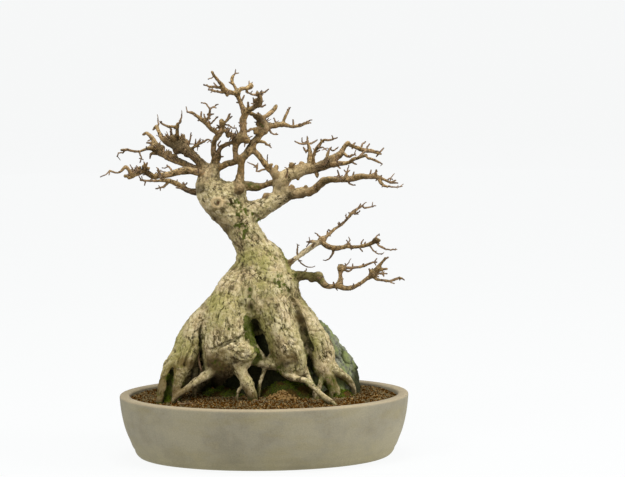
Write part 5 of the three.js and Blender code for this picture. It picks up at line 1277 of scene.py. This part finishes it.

# Spots of the front view, each [x, z, radius, strength]: damp places where moss has taken hold, whole
# or in dots, brown bark that soil and water have stained, rubbed or flaking plates partly made paler as
# painted highlights, and dark stains together with painted shade in the caves, grooves and under limbs
MOSSY = [
    [-29, 240, 6, 1.7], [-28, 226, 7, 2.0], [-25, 211, 7, 2.0], [-19, 198, 6, 1.7], [-12, 185, 6, 1.4],
    [-6, 174, 7, 1.2], [-14, 164, 8, 0.9], [-3, 128, 14, 0.6], [-175, 138, 10, 0.4], [100, 136, 14, 0.5],
    [78, 128, 12, 0.6], [-164, 140, 7, 0.8], [-166, 116, 7, 0.7], [20, 146, 12, 0.6], [84, 150, 9, 0.6],
    [118, 120, 9, 0.5], [-150, 128, 8, 0.5], [-184, 112, 9, 0.5], [118, 138, 9, 0.5], [140, 128, 8, 0.5],
    [-20, 472, 9, 0.6], [-7, 469, 8, 0.55],
]
DOTTED = [
    [-58, 447, 9, 0.8], [-44, 442, 14, 1.0], [-36, 426, 14, 0.9], [-28, 410, 12, 0.8], [-36, 398, 13, 0.8],
    [-30, 382, 13, 0.8], [-42, 414, 10, 0.6], [-14, 424, 11, 0.8], [-6, 412, 8, 0.8], [10, 432, 10, 0.5],
    [-52, 402, 8, 0.6], [-22, 368, 9, 0.4], [48, 318, 11, 1.0], [40, 302, 10, 0.8], [24, 314, 10, 0.9],
    [30, 298, 12, 0.8], [38, 286, 10, 0.8], [6, 300, 12, 0.5], [-22, 290, 11, 0.9], [-21, 274, 7, 1.0],
    [-21, 262, 6, 0.8], [14, 242, 9, 0.8], [38, 226, 8, 0.7], [44, 210, 7, 0.6], [60, 204, 6, 0.8],
    [72, 174, 9, 1.0], [-60, 222, 8, 0.8], [-80, 216, 10, 0.7], [-92, 186, 10, 0.8], [-90, 166, 12, 0.8],
    [-74, 152, 14, 0.9], [12, 172, 8, 0.9], [32, 152, 16, 0.8], [58, 152, 12, 0.8], [-89, 114, 13, 0.8],
    [-147, 156, 12, 0.7], [-112, 190, 8, 0.6], [-140, 172, 9, 0.6], [-120, 214, 8, 0.5],
    [-40, 118, 6, 0.6], [30, 344, 12, 0.8], [12, 350, 8, 0.6], [-36, 350, 10, 0.5], [-50, 306, 12, 0.4],
    [27, 486, 10, 0.9], [20, 500, 7, 0.7], [-56, 633, 7, 0.7], [-38, 638, 7, 0.7], [2, 574, 8, 0.8],
    [72, 318, 9, 0.5], [88, 316, 8, 0.5], [-118, 521, 6, 0.6], [104, 168, 8, 0.5], [92, 200, 8, 0.4],
]
EARTHY = [
    [-92, 170, 14, 1.0], [-78, 158, 16, 1.1], [-60, 152, 10, 0.9], [-100, 190, 8, 0.7],
    [-70, 184, 10, 0.7], [52, 172, 14, 0.8], [30, 168, 14, 0.8], [12, 180, 10, 0.8], [62, 240, 10, 1.2],
    [70, 220, 8, 1.0], [52, 272, 8, 0.8], [-22, 262, 7, 1.0], [-176, 128, 18, 1.0], [-156, 150, 16, 1.0],
    [-138, 168, 14, 0.9], [-122, 160, 12, 0.9], [-150, 112, 12, 0.8], [-182, 104, 10, 0.8],
    [-120, 196, 10, 0.7], [-116, 226, 8, 0.7], [-102, 262, 8, 0.8], [-30, 112, 9, 0.7], [-16, 104, 8, 0.7],
    [100, 150, 14, 0.8], [118, 130, 14, 0.9], [140, 130, 10, 0.6], [-78, 410, 12, 0.9],
    [-88, 428, 10, 0.8], [-64, 396, 10, 0.8], [-56, 380, 8, 0.6], [-66, 446, 12, 0.5], [-30, 430, 16, 0.5],
    [-44, 408, 14, 0.5], [-112, 140, 10, 0.6], [-130, 122, 10, 0.5], [80, 262, 8, 0.6], [88, 244, 8, 0.5],
    [20, 200, 8, 0.6], [4, 196, 6, 0.7], [-26, 186, 6, 0.6], [-60, 300, 8, 0.4], [60, 290, 7, 0.7],
]
# Pale flaking plates, and on the trunk's right edge and the right limb's top, painted highlights.
PALE = [
    [-48, 190, 9, 0.8], [-33, 176, 8, 0.9], [-50, 160, 9, 0.7], [-24, 182, 6, 0.8], [48, 200, 8, 1.1],
    [-4, 268, 8, 0.9], [-6, 250, 6, 0.7], [4, 390, 8, 0.8], [-6, 404, 7, 0.7], [10, 372, 8, 0.7],
    [-18, 432, 9, 0.7], [0, 440, 9, 0.7], [18, 442, 8, 0.5], [-84, 490, 8, 0.7], [-82, 474, 7, 0.6],
    [-44, 480, 6, 0.6], [-34, 240, 5, 0.5], [-38, 222, 5, 0.9], [-98, 236, 5, 0.8], [72, 188, 5, 0.8],
    [38, 142, 6, 0.9], [112, 168, 8, 0.6], [-68, 232, 12, 0.5], [20, 226, 12, 0.5], [36, 176, 8, 0.4],
    [-28, 130, 8, 0.5], [-20, 324, 14, 0.5], [4, 286, 10, 0.5], [-148, 494, 9, 0.5], [-122, 498, 9, 0.5],
    [60, 346, 14, 1.3], [80, 360, 14, 1.2], [96, 372, 8, 0.8], [8, 160, 5, 0.6],
]
# Dark stains where shoots were cut, and painted shade in the caves under the roots, the groove between the centre
# and right roots and below the left limbs.
DARK = [
    [-100, 514, 12, 0.5], [-122, 516, 10, 0.5], [-140, 518, 8, 0.3], [-104, 466, 9, 0.7],
    [-116, 462, 8, 0.7], [-130, 466, 8, 0.6], [-145, 540, 16, 0.6], [-130, 532, 12, 0.5],
    [-165, 540, 12, 0.4], [-180, 530, 9, 0.4], [-205, 498, 10, 0.5], [-192, 492, 8, 0.5],
    [2, 575, 12, 0.5], [-5, 588, 8, 0.35], [-12, 556, 9, 0.25], [-30, 545, 10, 0.15], [-48, 552, 10, 0.3],
    [-78, 545, 8, 0.25], [-40, 598, 8, 0.3], [-8, 614, 8, 0.6], [-50, 455, 7, 0.6], [-38, 455, 8, 0.5],
    [35, 462, 12, 0.3], [48, 450, 8, 0.45], [70, 450, 9, 0.5], [110, 510, 10, 0.6], [98, 500, 8, 0.5],
    [28, 472, 10, 0.4], [52, 170, 10, 0.5], [28, 160, 9, 0.5], [40, 160, 9, 0.5], [60, 160, 8, 0.5],
    [66, 236, 8, 0.9], [60, 250, 6, 0.8], [-60, 400, 9, 0.5], [-80, 414, 8, 0.5], [-70, 428, 8, 0.4],
    [-62, 388, 6, 0.6], [195, 372, 8, 0.6], [-84, 132, 10, 0.8], [-72, 140, 12, 0.8], [-95, 160, 8, 0.6],
    [-24, 270, 4, 0.5], [60, 262, 6, 0.5], [35, 348, 8, 0.3], [8, 352, 7, 0.3], [-80, 168, 10, 0.5],
    [-22, 262, 6, 0.8],
]
# Young wood that is green all round with algae, and recesses that rain and light still reach
GREENED = [[64, 317, 14, 1.1], [82, 315, 14, 1.1], [98, 307, 10, 0.8], [20, 487, 8, 0.5]]
WASHED = [[52, 268, 10, 0.35], [60, 250, 10, 0.4], [68, 228, 10, 0.4], [74, 206, 9, 0.35], [-21, 272, 9, 0.3]]

# What the moss stands on: each point of the bark with its outward way and how damp it is
bark_points = []


def wood_piece(name, low, high, step, keep):
    """One share of the wood, with its marks: where it is damp, olive, young, dark or pale."""
    points, quads, ways, grain, thick, hollow_shade, height, cracks, callus = dressed_wood(low, high, step, keep)
    dots = np.clip(0.2 + 1.5 * noise(points, 3.6, 65) + 0.9 * noise(points, 9.0, 66), 0, 1)
    green = near_spots(points, GREENED)
    hollow_shade = hollow_shade - near_spots(points, WASHED)
    damp_and_shaded = near_spots(points, MOSSY) + dots * near_spots(points, DOTTED) + 0.4 * np.clip(hollow_shade, 0, 0.7)
    damp_and_shaded += 0.45 * np.clip((145 - points[:, 2]) / 50, 0, 1)
    damp_and_shaded -= 0.12 * np.clip(height, -1, 2) - 0.18 * noise(points, 17.0, 41) - 0.25 * noise(points, 6.5, 49)
    shade = np.clip((470 - points[:, 2]) / 120, 0, 1) * (0.8 + 0.45 * noise(points, 40.0, 42) + 0.3 * hollow_shade)
    shade = shade * np.clip(thick / 9 - 0.2, 0.15, 1) + 0.65 * green
    young = np.clip((16 - thick) / 9, 0, 1) * np.clip((points[:, 2] - 240) / 60, 0, 1)
    high_up = 0.6 * np.clip((points[:, 2] - 466) / 45, 0, 1)
    young = np.maximum(young, high_up) * np.clip(1 - 0.7 * green, 0, 1)
    front = points[:, 1] < 30
    earth = front * near_spots(points, EARTHY) + 0.75 * np.clip((152 - points[:, 2]) / 45, 0, 1)
    # Painted shade, together with the dark stains of cut-over and young wood.
    stains_and_shade = near_spots(points, DARK) + 0.22 * young + 0.6 * green
    bark_points.append(np.column_stack([points, ways, damp_and_shaded * 0.8]))
    new_piece(name, points, [quads], bark, ["tree"], marks={
        "grain": grain, "relief": height, "hollow_shade": hollow_shade, "moss": damp_and_shaded * 0.8, "olive": shade,
        "wrinkles": cracks, "young": young, "callus": callus, "under": 0.5 - 0.5 * ways[:, 2],
        "pale": front * near_spots(points, PALE), "earthy": earth,
        "dark": stains_and_shade + 0.2 * np.clip(noise(points, 26.0, 43), 0, 1),
    })


# The two shares part at this height, and low on the right beyond this x and above this z. Each is
# worked out on a grid of this step, in the box between two corners.
PARTING = 384.0
LOW_LIMBS = (60.0, 296.0)
OVERLAP = 6
TRUNK_STEP = 2.04
LIMBS_STEP = 1.52
TRUNK_BOX = np.array([[-206.0, -122.0, 66.0], [176.0, 140.0, 392.0]])
LIMBS_BOX = np.array([[-276.0, -112.0, 282.0], [246.0, 136.0, 682.0]])


def low_share(x, y, z):
    """Distance to the lower share of the wood: below the parting, or low on the right."""
    return np.maximum(z - PARTING, np.minimum(x - LOW_LIMBS[0], z - LOW_LIMBS[1])) + 0 * y


wood_piece("trunk_and_roots", *TRUNK_BOX, TRUNK_STEP, low_share)
wood_piece("limbs", *LIMBS_BOX, LIMBS_STEP, lambda x, y, z: -low_share(x, y, z) - OVERLAP)

# Twigs
# The last two or three years' growth: brown, as thin as wire, a little kinked at each pair of buds,
# with short dead stubs and buds standing off the limbs. All are grown into the wood at their foot.
random_state = 20160214
# Twiglets on limbs and on shoots: how far apart, how long and how thick. Limbs have them where their
# radius is under the limit.
LIMB_TWIGLETS = (24.0, 9.0, 1.7)
SHOOT_TWIGLETS = (32.0, 8.5, 1.15)
TWIGLET_LIMIT = 6.5


def rods(paths, sides, count):
    """Thin stems: each path is cut into the same number of rings, a ring being the middle point
    plus the radius times the cosine and sine along two ways across, carried on from ring to ring.
    The last ring is drawn to a point."""
    rows = []
    for path in paths:
        run = run_along(path)
        wanted = np.linspace(0, run[-1], count)
        rows.append(np.stack([np.interp(wanted, run, path[:, i]) for i in range(4)], -1))
    rows = np.stack(rows)
    middle, radius = rows[..., :3], rows[..., 3:]
    way = unit(np.gradient(middle, axis=1))
    start = np.where(np.abs(way[:, :1, 1:2]) < 0.8, [[[0, 1.0, 0]]], [[[1.0, 0, 0]]])[:, 0]
    sides_across = []
    for i in range(count):
        start = unit(start - way[:, i] * (start * way[:, i]).sum(1, keepdims=True))
        sides_across.append(start)
    side = np.stack(sides_across, 1)
    third = np.cross(way, side)
    angle = np.linspace(0, 2 * np.pi, sides, endpoint=False)
    rings = (middle[:, :, None] + radius[:, :, None] * (np.cos(angle)[:, None] * side[:, :, None]
                                                        + np.sin(angle)[:, None] * third[:, :, None]))
    ends = np.stack([middle[:, 0], middle[:, -1] + way[:, -1] * radius[:, -1] * 0.8], 1)
    points = np.concatenate([rings.reshape(len(paths), -1, 3), ends], 1).reshape(-1, 3)
    along = np.tile(np.repeat(np.linspace(0, 1, count), sides), (len(paths), 1))
    along = np.concatenate([along, np.tile([0.0, 1.0], (len(paths), 1))], 1).ravel()
    return points, ring_faces(count, sides, len(paths)), along


def next_random():
    """The next number from 0 to 1 of a fixed row: times 1664525, plus 1013904223, modulo 2^32."""
    global random_state
    random_state = (random_state * 1664525 + 1013904223) % 4294967296
    return random_state / 4294967296


def thinned(points):
    """A path without the points that follow the last one kept too closely."""
    kept = [points[0]]
    for point in points[1:-1]:
        if np.linalg.norm(point[:3] - kept[-1][:3]) > max(17.0, 0.62 * point[3]):
            kept.append(point)
    return np.array(kept + [points[-1]])


def shoots_of(path):
    """Shoots of one limb: each starts on its middle line and runs sideways, forwards and backwards
    in turn, rising a little. The limb's last stretch has none."""
    points = thinned(sight_points(path))
    shoots = []
    wanted = SHOOT_SPACING * (0.6 + 0.6 * next_random())
    run = 0.0
    turn = 1 if next_random() < 0.5 else -1
    for start, end in zip(points[:-2], points[1:-1]):
        length = np.linalg.norm(end[:3] - start[:3])
        while run + length > wanted:
            foot = start + (end - start) * (wanted - run) / length
            ahead = (end - start)[:3] / length
            away = np.array([0.4 * next_random() - 0.2, turn, 0.3 * next_random()])
            away = away + ahead * (0.25 - away @ ahead)
            away = away / np.linalg.norm(away)
            reach = foot[3] + SHOOT_LENGTH + SHOOT_EXTRA * next_random() ** 2
            radius = min(SHOOT_RADIUS * (0.8 + 0.5 * next_random()), foot[3] * 0.7)
            bend = np.array([next_random() - 0.5, next_random() - 0.5, next_random()]) * 0.2 * reach
            knee, tip = foot[:3] + away * reach * 0.55, foot[:3] + away * reach + bend
            shoots.append(np.array([[*foot[:3], radius * 1.5], [*knee, radius], [*tip, radius * 0.65]]))
            wanted += SHOOT_SPACING * (0.6 + 0.8 * next_random())
            turn = -turn
        run += length
    return shoots


shoots = []
for name in SHOOTING_LIMBS:
    shoots += shoots_of(grown[name])
tips = []
for path in limb_paths:
    whole = curve(sight_points(path), 2.0)
    slim = whole[:, 3] < THINNEST + 0.7
    if slim.any():
        tips.append(whole[max(0, np.argmax(slim) - 1):] * [1, 1, 1, 0.93])
twigs = tips + [curve(shoot, 3.0) for shoot in shoots]


def kinked(random, path):
    """A twig's path with a small kink at each of its points and a swelling at every third."""
    moved = path.copy()
    moved[1:, :3] += random.normal(0, 0.45, (len(path) - 1, 3))
    moved[:, 3] *= 1 + 0.28 * (np.arange(len(path)) % 3 == 1)
    return moved


def side_twigs(random, path, spacing, length, thick):
    """Twiglets that stand off a stem: pairs at random places, each leaning forward along it."""
    run = run_along(path)
    made = []
    for at in np.arange(spacing * random.uniform(0.4, 1.2), run[-1], spacing):
        at += random.uniform(-0.3, 0.3) * spacing
        foot = np.array([np.interp(at, run, path[:, i]) for i in range(4)])
        ahead = np.array([np.interp(at + 2, run, path[:, i]) for i in range(3)]) - foot[:3]
        ahead /= max(np.linalg.norm(ahead), 1e-6)
        away = random.normal(size=3)
        away -= ahead * (away @ ahead)
        away /= np.linalg.norm(away)
        for side in (1, -1):
            if random.uniform() < 0.65:
                way = away * side + ahead * random.uniform(0.2, 0.8) + [0, 0, random.uniform(0, 0.35)]
                way /= np.linalg.norm(way)
                reach = foot[3] + length * random.uniform(0.35, 1.0) ** 1.5
                radius = min(thick * random.uniform(0.75, 1.15), foot[3] * 0.8)
                bend = random.normal(0, 0.12, 3) * reach
                spots = foot[:3] + way * reach * np.array([[0], [0.4], [0.75], [1.0]])
                spots[2] += bend * 0.5
                spots[3] += bend
                made.append(np.column_stack([spots, radius * np.array([1.25, 1.0, 0.9, 0.7])]))
    return made


random = np.random.default_rng(31)
fine = []
for path in limb_paths:
    whole = curve(sight_points(path), 3.0)
    near_tip = whole[whole[:, 3] < TWIGLET_LIMIT]
    if len(near_tip) > 2:
        fine += side_twigs(random, near_tip, *LIMB_TWIGLETS)
for twig in [t for t in twigs if len(t) > 3]:
    fine += side_twigs(random, twig, *SHOOT_TWIGLETS)

# Fine roots that hang into the hollows or run over the grit: [x, z, radius, depth]
FINE_ROOTS = [
    [[-110, 200, 1.5, -32], [-113, 184, 1.8, -38], [-112, 166, 1.8, -42], [-108, 150, 1.6, -46]],
    [[-150, 97, 1.0, -92], [-140, 92, 0.9, -98], [-128, 94, 0.7, -102], [-120, 90, 0.5, -106]],
    [[-20, 100, 1.2, -70], [-8, 96, 0.9, -78], [4, 94, 0.7, -86], [12, 90, 0.5, -92]],
    [[100, 100, 1.0, -80], [112, 97, 0.8, -84], [124, 98, 0.7, -84], [136, 95, 0.5, -84]],
]
twigs += [curve(sight_points(path), 3.0) for path in FINE_ROOTS]

# Dense clusters of short dark spurs, where shoots were pinched back year after year:
# [x, z, spread, count, length] of the front view
CLUSTERS = [
    [-166, 556, 6, 8, 11], [-153, 551, 7, 12, 13], [-142, 552, 7, 12, 13], [-133, 546, 6, 10, 14],
    [-124, 540, 5, 6, 12], [-176, 536, 6, 6, 9], [-162, 532, 6, 5, 8], [-185, 545, 4, 5, 9],
    [-226, 492, 5, 6, 8], [-213, 497, 6, 8, 10], [-203, 500, 5, 6, 9], [-113, 548, 4, 6, 10],
    [-62, 562, 6, 7, 9], [-50, 556, 6, 9, 9], [-40, 553, 6, 9, 9], [-28, 552, 5, 8, 9], [-8, 614, 4, 7, 7],
    [-4, 624, 4, 6, 7], [0, 576, 5, 9, 8], [-6, 588, 4, 6, 7], [4, 566, 4, 6, 8], [-24, 602, 4, 5, 8],
    [-18, 641, 3, 6, 7], [-52, 560, 5, 6, 10], [-90, 588, 4, 5, 9],
]
for x, z, spread, count, length in CLUSTERS:
    foot = sight_points([nearest_wood(x, z)])[0]
    for way in random.normal(size=(count, 3)) * [1.0, 1.0, 0.7] + [0, 0, 0.6]:
        way /= np.linalg.norm(way)
        start = foot[:3] + random.normal(0, 0.45, 3) * spread
        reach = foot[3] + length * random.uniform(0.5, 1.0)
        spots = start + way * reach * np.array([[0], [0.35], [0.7], [1.0]])
        spots[2:] += random.normal(0, 0.08, 3) * reach
        fine.append(np.column_stack([spots, random.uniform(0.9, 1.7) * np.array([1.4, 1.0, 0.85, 0.5])]))

twig_points, twig_faces, twig_along = rods([kinked(random, t) for t in twigs], 7, 10)
fine_points, fine_faces, fine_along = rods(fine, 5, 5)

# Young maple wood: smooth brown to red-brown bark with pale pores, darker at the buds.
young_wood, tree = new_material("young_maple_twigs")
place = add(tree, "TexCoord", output="Object")
along = add(tree, "Attribute", output="Fac", attribute_name="along")
patches = add(tree, "TexNoise", {"Scale": 1000 / 7, "Detail": 4.0, "Roughness": 0.65}, {"Vector": place})
twig_colour = add(tree, "ValToRGB", links={"Fac": patches},
                  stops=[(0.32, "2c1d12"), (0.7, "b99c6e"), (0.46, "59422b"), (0.58, "856a47")])
twig_tips = stained(tree, twig_colour, [("3d2a1f", along, 0.7, 1.0, 0.6)])
shader = add(tree, "BsdfPrincipled", {"Roughness": 0.7, "IOR": 1.45}, {"Base Color": twig_tips})
add(tree, "OutputMaterial", links={"Surface": shader})

new_piece("twigs", twig_points, twig_faces, young_wood, ["tree"], marks={"along": twig_along})
new_piece("twiglets_and_buds", fine_points, fine_faces, young_wood, ["tree"],
          marks={"along": fine_along})

# Moss
# Short green cushions that take hold where the grit and the bark stay wet: on banks of old soil
# between the roots, in the clefts and on the dampest bark. Each shoot is a spike 1 to 3 mm high.
BANK_ROWS, BANK_COLUMNS = 46, 150
# The banks of soil under the trunk: [x, y, half length, half width, height over the bed]
BANKS = [[46, -26, 84, 25, 21], [-60, -6, 62, 36, 12], [-164, -46, 20, 18, 8], [122, -22, 36, 24, 14]]


def soil_bank(x, y, half_length, half_width, height):
    """A low mound: rings that run out from its top to its rim, where it meets the bed, and back
    underneath, its height falling off as the square of one less the square of the way out."""
    out = np.concatenate([np.linspace(0.03, 1.0, BANK_ROWS - 2), [0.9, 0.5]])
    angle = np.linspace(0, 2 * np.pi, BANK_COLUMNS, endpoint=False)
    across = np.append(np.outer(out, np.cos(angle)).ravel(), [0, 0]) * half_length + x
    along = np.append(np.outer(out, np.sin(angle)).ravel(), [0, 0]) * half_width + y
    rise = np.append(np.repeat((1 - out ** 2) ** 2 * height, BANK_COLUMNS), [height, 0])
    points = np.column_stack([across, along, soil_top(across, along) + rise])
    points[:, 2] += 2.6 * noise(points, 12.0, 61) + 1.6 * noise(points, 5.0, 62) - 2.0 * (rise < 2)
    under = np.append(np.repeat(np.arange(BANK_ROWS) >= BANK_ROWS - 2, BANK_COLUMNS), [False, True])
    points[under, 2] = SOIL_EDGE - 6
    return points


bank_points = np.vstack([soil_bank(*bank) for bank in BANKS])
bank_moss = np.clip(0.6 + 0.9 * noise(bank_points, 16.0, 63) + 0.5 * noise(bank_points, 6.0, 64), 0, 1)

# Old wet akadama, crushed to a dark brown mud that holds together, with a green film where it is
# always damp.
wet_soil, tree = new_material("wet_soil_with_algae")
place = add(tree, "TexCoord", output="Object")
damp_mark = add(tree, "Attribute", output="Fac", attribute_name="moss")
crumbs = add(tree, "TexNoise", {"Scale": 1000 / 4, "Detail": 6.0, "Roughness": 0.72}, {"Vector": place})
mud = add(tree, "ValToRGB", links={"Fac": crumbs},
          stops=[(0.3, "1c1206"), (0.72, "7d6436"), (0.45, "3a270e"), (0.58, "563c18")])
film = add(tree, "ValToRGB", links={"Fac": crumbs},
           stops=[(0.3, "121505"), (0.72, "5e6630"), (0.45, "272b0c"), (0.58, "3f4618")])
banked = add(tree, "Mix", links={0: damp_mark, 6: mud, 7: film}, output=2, data_type="RGBA")
bank_bump = add(tree, "Bump", {"Strength": 1.0, "Distance": 0.003}, {"Height": crumbs})
shader = add(tree, "BsdfPrincipled", {"Roughness": 0.95, "IOR": 1.45, "Specular IOR Level": 0.1},
             {"Base Color": banked, "Normal": bank_bump})
add(tree, "OutputMaterial", links={"Surface": shader})
new_piece("soil_banks", bank_points, ring_faces(BANK_ROWS, BANK_COLUMNS, len(BANKS)), wet_soil, ["soil"],
          marks={"moss": bank_moss})


def spikes(random, feet, ways, height, width):
    """Moss shoots: three-sided pyramids, each with its foot sunk in the ground and its tip along its
    own way, bent aside by up to half its height."""
    side = unit(np.cross(ways, random.normal(size=ways.shape)))
    third = np.cross(ways, side)
    angle = np.arange(3) * 2 * np.pi / 3
    ring = np.cos(angle)[:, None] * side[:, None] + np.sin(angle)[:, None] * third[:, None]
    ring = ring * width[:, None, None] + (feet - 0.6 * ways)[:, None]
    bend = side * random.uniform(-0.5, 0.5, (len(feet), 1))
    bend += third * random.uniform(-0.5, 0.5, (len(feet), 1))
    tip = feet + (ways + bend) * height[:, None]
    corners = np.concatenate([ring, tip[:, None]], 1).reshape(-1, 3)
    sides = np.array([[0, 1, 3], [1, 2, 3], [2, 0, 3], [0, 2, 1]])
    return corners, [(sides + 4 * np.arange(len(feet))[:, None, None]).reshape(-1, 3)]


random = np.random.default_rng(12)
on_bark = np.vstack(bark_points)
chance = np.clip((on_bark[:, 6] - 0.42) / 0.4, 0, 1) ** 1.5
grows = random.uniform(size=len(on_bark)) < 0.55 * chance
feet, ways = on_bark[grows, :3], on_bark[grows, 3:6]
bank_spots = bank_points[(bank_moss > 0.55) & (random.uniform(size=len(bank_points)) < 0.35)]
feet += random.normal(0, 0.7, feet.shape)
bank_spots += random.normal(0, 0.8, bank_spots.shape)
feet = np.vstack([feet, bank_spots])
ways = np.vstack([ways + [0, 0, 0.5], np.tile([0, -0.4, 1.0], (len(bank_spots), 1))])
ways = unit(ways + random.normal(0, 0.3, ways.shape))
height = random.uniform(0.9, 2.4, len(feet))
moss_corners, moss_faces = spikes(random, feet, ways, height, random.uniform(0.5, 0.9, len(feet)))

# Feather moss: yellow-green at the tips of its shoots, dark below where no light gets in.
feather_moss, tree = new_material("feather_moss")
place = add(tree, "TexCoord", output="Object")
along = add(tree, "Attribute", output="Fac", attribute_name="along")
tufts = add(tree, "TexNoise", {"Scale": 1000 / 9, "Detail": 4.0, "Roughness": 0.7}, {"Vector": place})
leaf_tone = add(tree, "Math", {1: 0.28}, {0: along, 2: tufts}, operation="MULTIPLY_ADD")
leaves = add(tree, "ValToRGB", links={"Fac": leaf_tone},
             stops=[(0.35, "1f2604"), (0.95, "99a53c"), (0.52, "3d4c0a"), (0.7, "64751a")])
shader = add(tree, "BsdfPrincipled", {"Roughness": 0.9, "IOR": 1.4, "Specular IOR Level": 0.1},
             {"Base Color": leaves})
add(tree, "OutputMaterial", links={"Surface": shader})
new_piece("moss", moss_corners, moss_faces, feather_moss, ["tree"], smooth=False,
          marks={"along": np.tile([0.0, 0.0, 0.0, 1.0], len(feet))})

# Stage
# A plain pale round floor with a backdrop that closes it off from every side, soft light from above
# and from the front, and the camera of the photograph's view: five metres off, a little above the
# crown, turned half a degree. The backdrop shows, but throws no light on the tree.
paper, tree = new_material("pale_paper")
shader = add(tree, "BsdfPrincipled", {
    "Base Color": linear("242424"), "Roughness": 0.9,
    "Emission Color": linear("f4f5f5"), "Emission Strength": 1.0,
})
add(tree, "OutputMaterial", links={"Surface": shader})
FLOOR_COLUMNS = 96
# The floor from its middle outwards and up the backdrop: [distance, height] in metres
floor_profile = np.array([
    [0.5, 0.0], [6.0, 0.0], [6.5, 0.05], [6.9, 0.22], [7.15, 0.5], [7.3, 1.0], [7.4, 6.0],
])
round_angle = np.linspace(0, 2 * np.pi, FLOOR_COLUMNS, endpoint=False)
floor_rings = np.stack([
    np.outer(floor_profile[:, 0], np.cos(round_angle)), np.outer(floor_profile[:, 0], np.sin(round_angle)),
    np.repeat(floor_profile[:, 1:], FLOOR_COLUMNS, axis=1),
], -1).reshape(-1, 3)
stage_points = np.vstack([floor_rings, [0, 0, 0]]).tolist()
quads, ends = ring_faces(len(floor_profile), FLOOR_COLUMNS)
for name, faces, lit in (("floor", [quads[:FLOOR_COLUMNS, ::-1], ends[:FLOOR_COLUMNS, ::-1]], True),
                         ("backdrop", [quads[FLOOR_COLUMNS:, ::-1]], False)):
    stage_mesh = bpy.data.meshes.new(name)
    stage_mesh.from_pydata(stage_points, [], [f for part in faces for f in part.tolist()])
    stage_mesh.materials.append(paper)
    stage_mesh.shade_smooth()
    stage = bpy.data.objects.new(name, stage_mesh)
    stage.visible_diffuse = lit
    stage.visible_glossy = lit
    bpy.context.scene.collection.objects.link(stage)

# Soft square lamps: place, what each points at, side in metres and power in watts
LIGHTS = [
    ("key", (-1.9, -2.2, 2.6), (0, 0, 0.3), 1.1, 74.0),
    ("fill", (3.2, -0.9, 1.4), (0, 0, 0.2), 1.4, 98.0),
    ("top", (0.1, -0.3, 3.0), (0, 0, 0.3), 1.2, 66.0),
]
for name, spot, target, size, power in LIGHTS:
    lamp = bpy.data.lights.new(name, "AREA")
    lamp.shape = "SQUARE"
    lamp.size = size
    lamp.energy = power
    holder = bpy.data.objects.new(name, lamp)
    holder.location = spot
    holder.visible_camera = False
    holder.rotation_euler = (Vector(target) - Vector(spot)).to_track_quat("-Z", "Y").to_euler()
    bpy.context.scene.collection.objects.link(holder)

world = bpy.data.worlds.new("studio")
world.use_nodes = True
world.node_tree.nodes["Background"].inputs["Color"].default_value = linear("f2f3f5")
world.node_tree.nodes["Background"].inputs["Strength"].default_value = 0.35
bpy.context.scene.world = world
bpy.context.scene.view_settings.view_transform = "Standard"

CAMERA_PLACE = Vector((0.0, -VIEW_DISTANCE * MM, VIEW_HEIGHT * MM))
CAMERA_TARGET = Vector((0.086, 0.0, 0.378))
CAMERA_ROLL = 0.5
CAMERA_LENS = 165.9
CAMERA_SENSOR = 36.0
camera = bpy.data.objects.new("camera", bpy.data.cameras.new("camera"))
camera.data.lens = CAMERA_LENS
camera.data.sensor_width = CAMERA_SENSOR
facing = (CAMERA_TARGET - CAMERA_PLACE).to_track_quat("-Z", "Y").to_matrix().to_4x4()
rolled = Matrix.Rotation(np.radians(-CAMERA_ROLL), 4, "Z")
camera.matrix_world = Matrix.Translation(CAMERA_PLACE) @ facing @ rolled
bpy.context.scene.collection.objects.link(camera)
bpy.context.scene.camera = camera
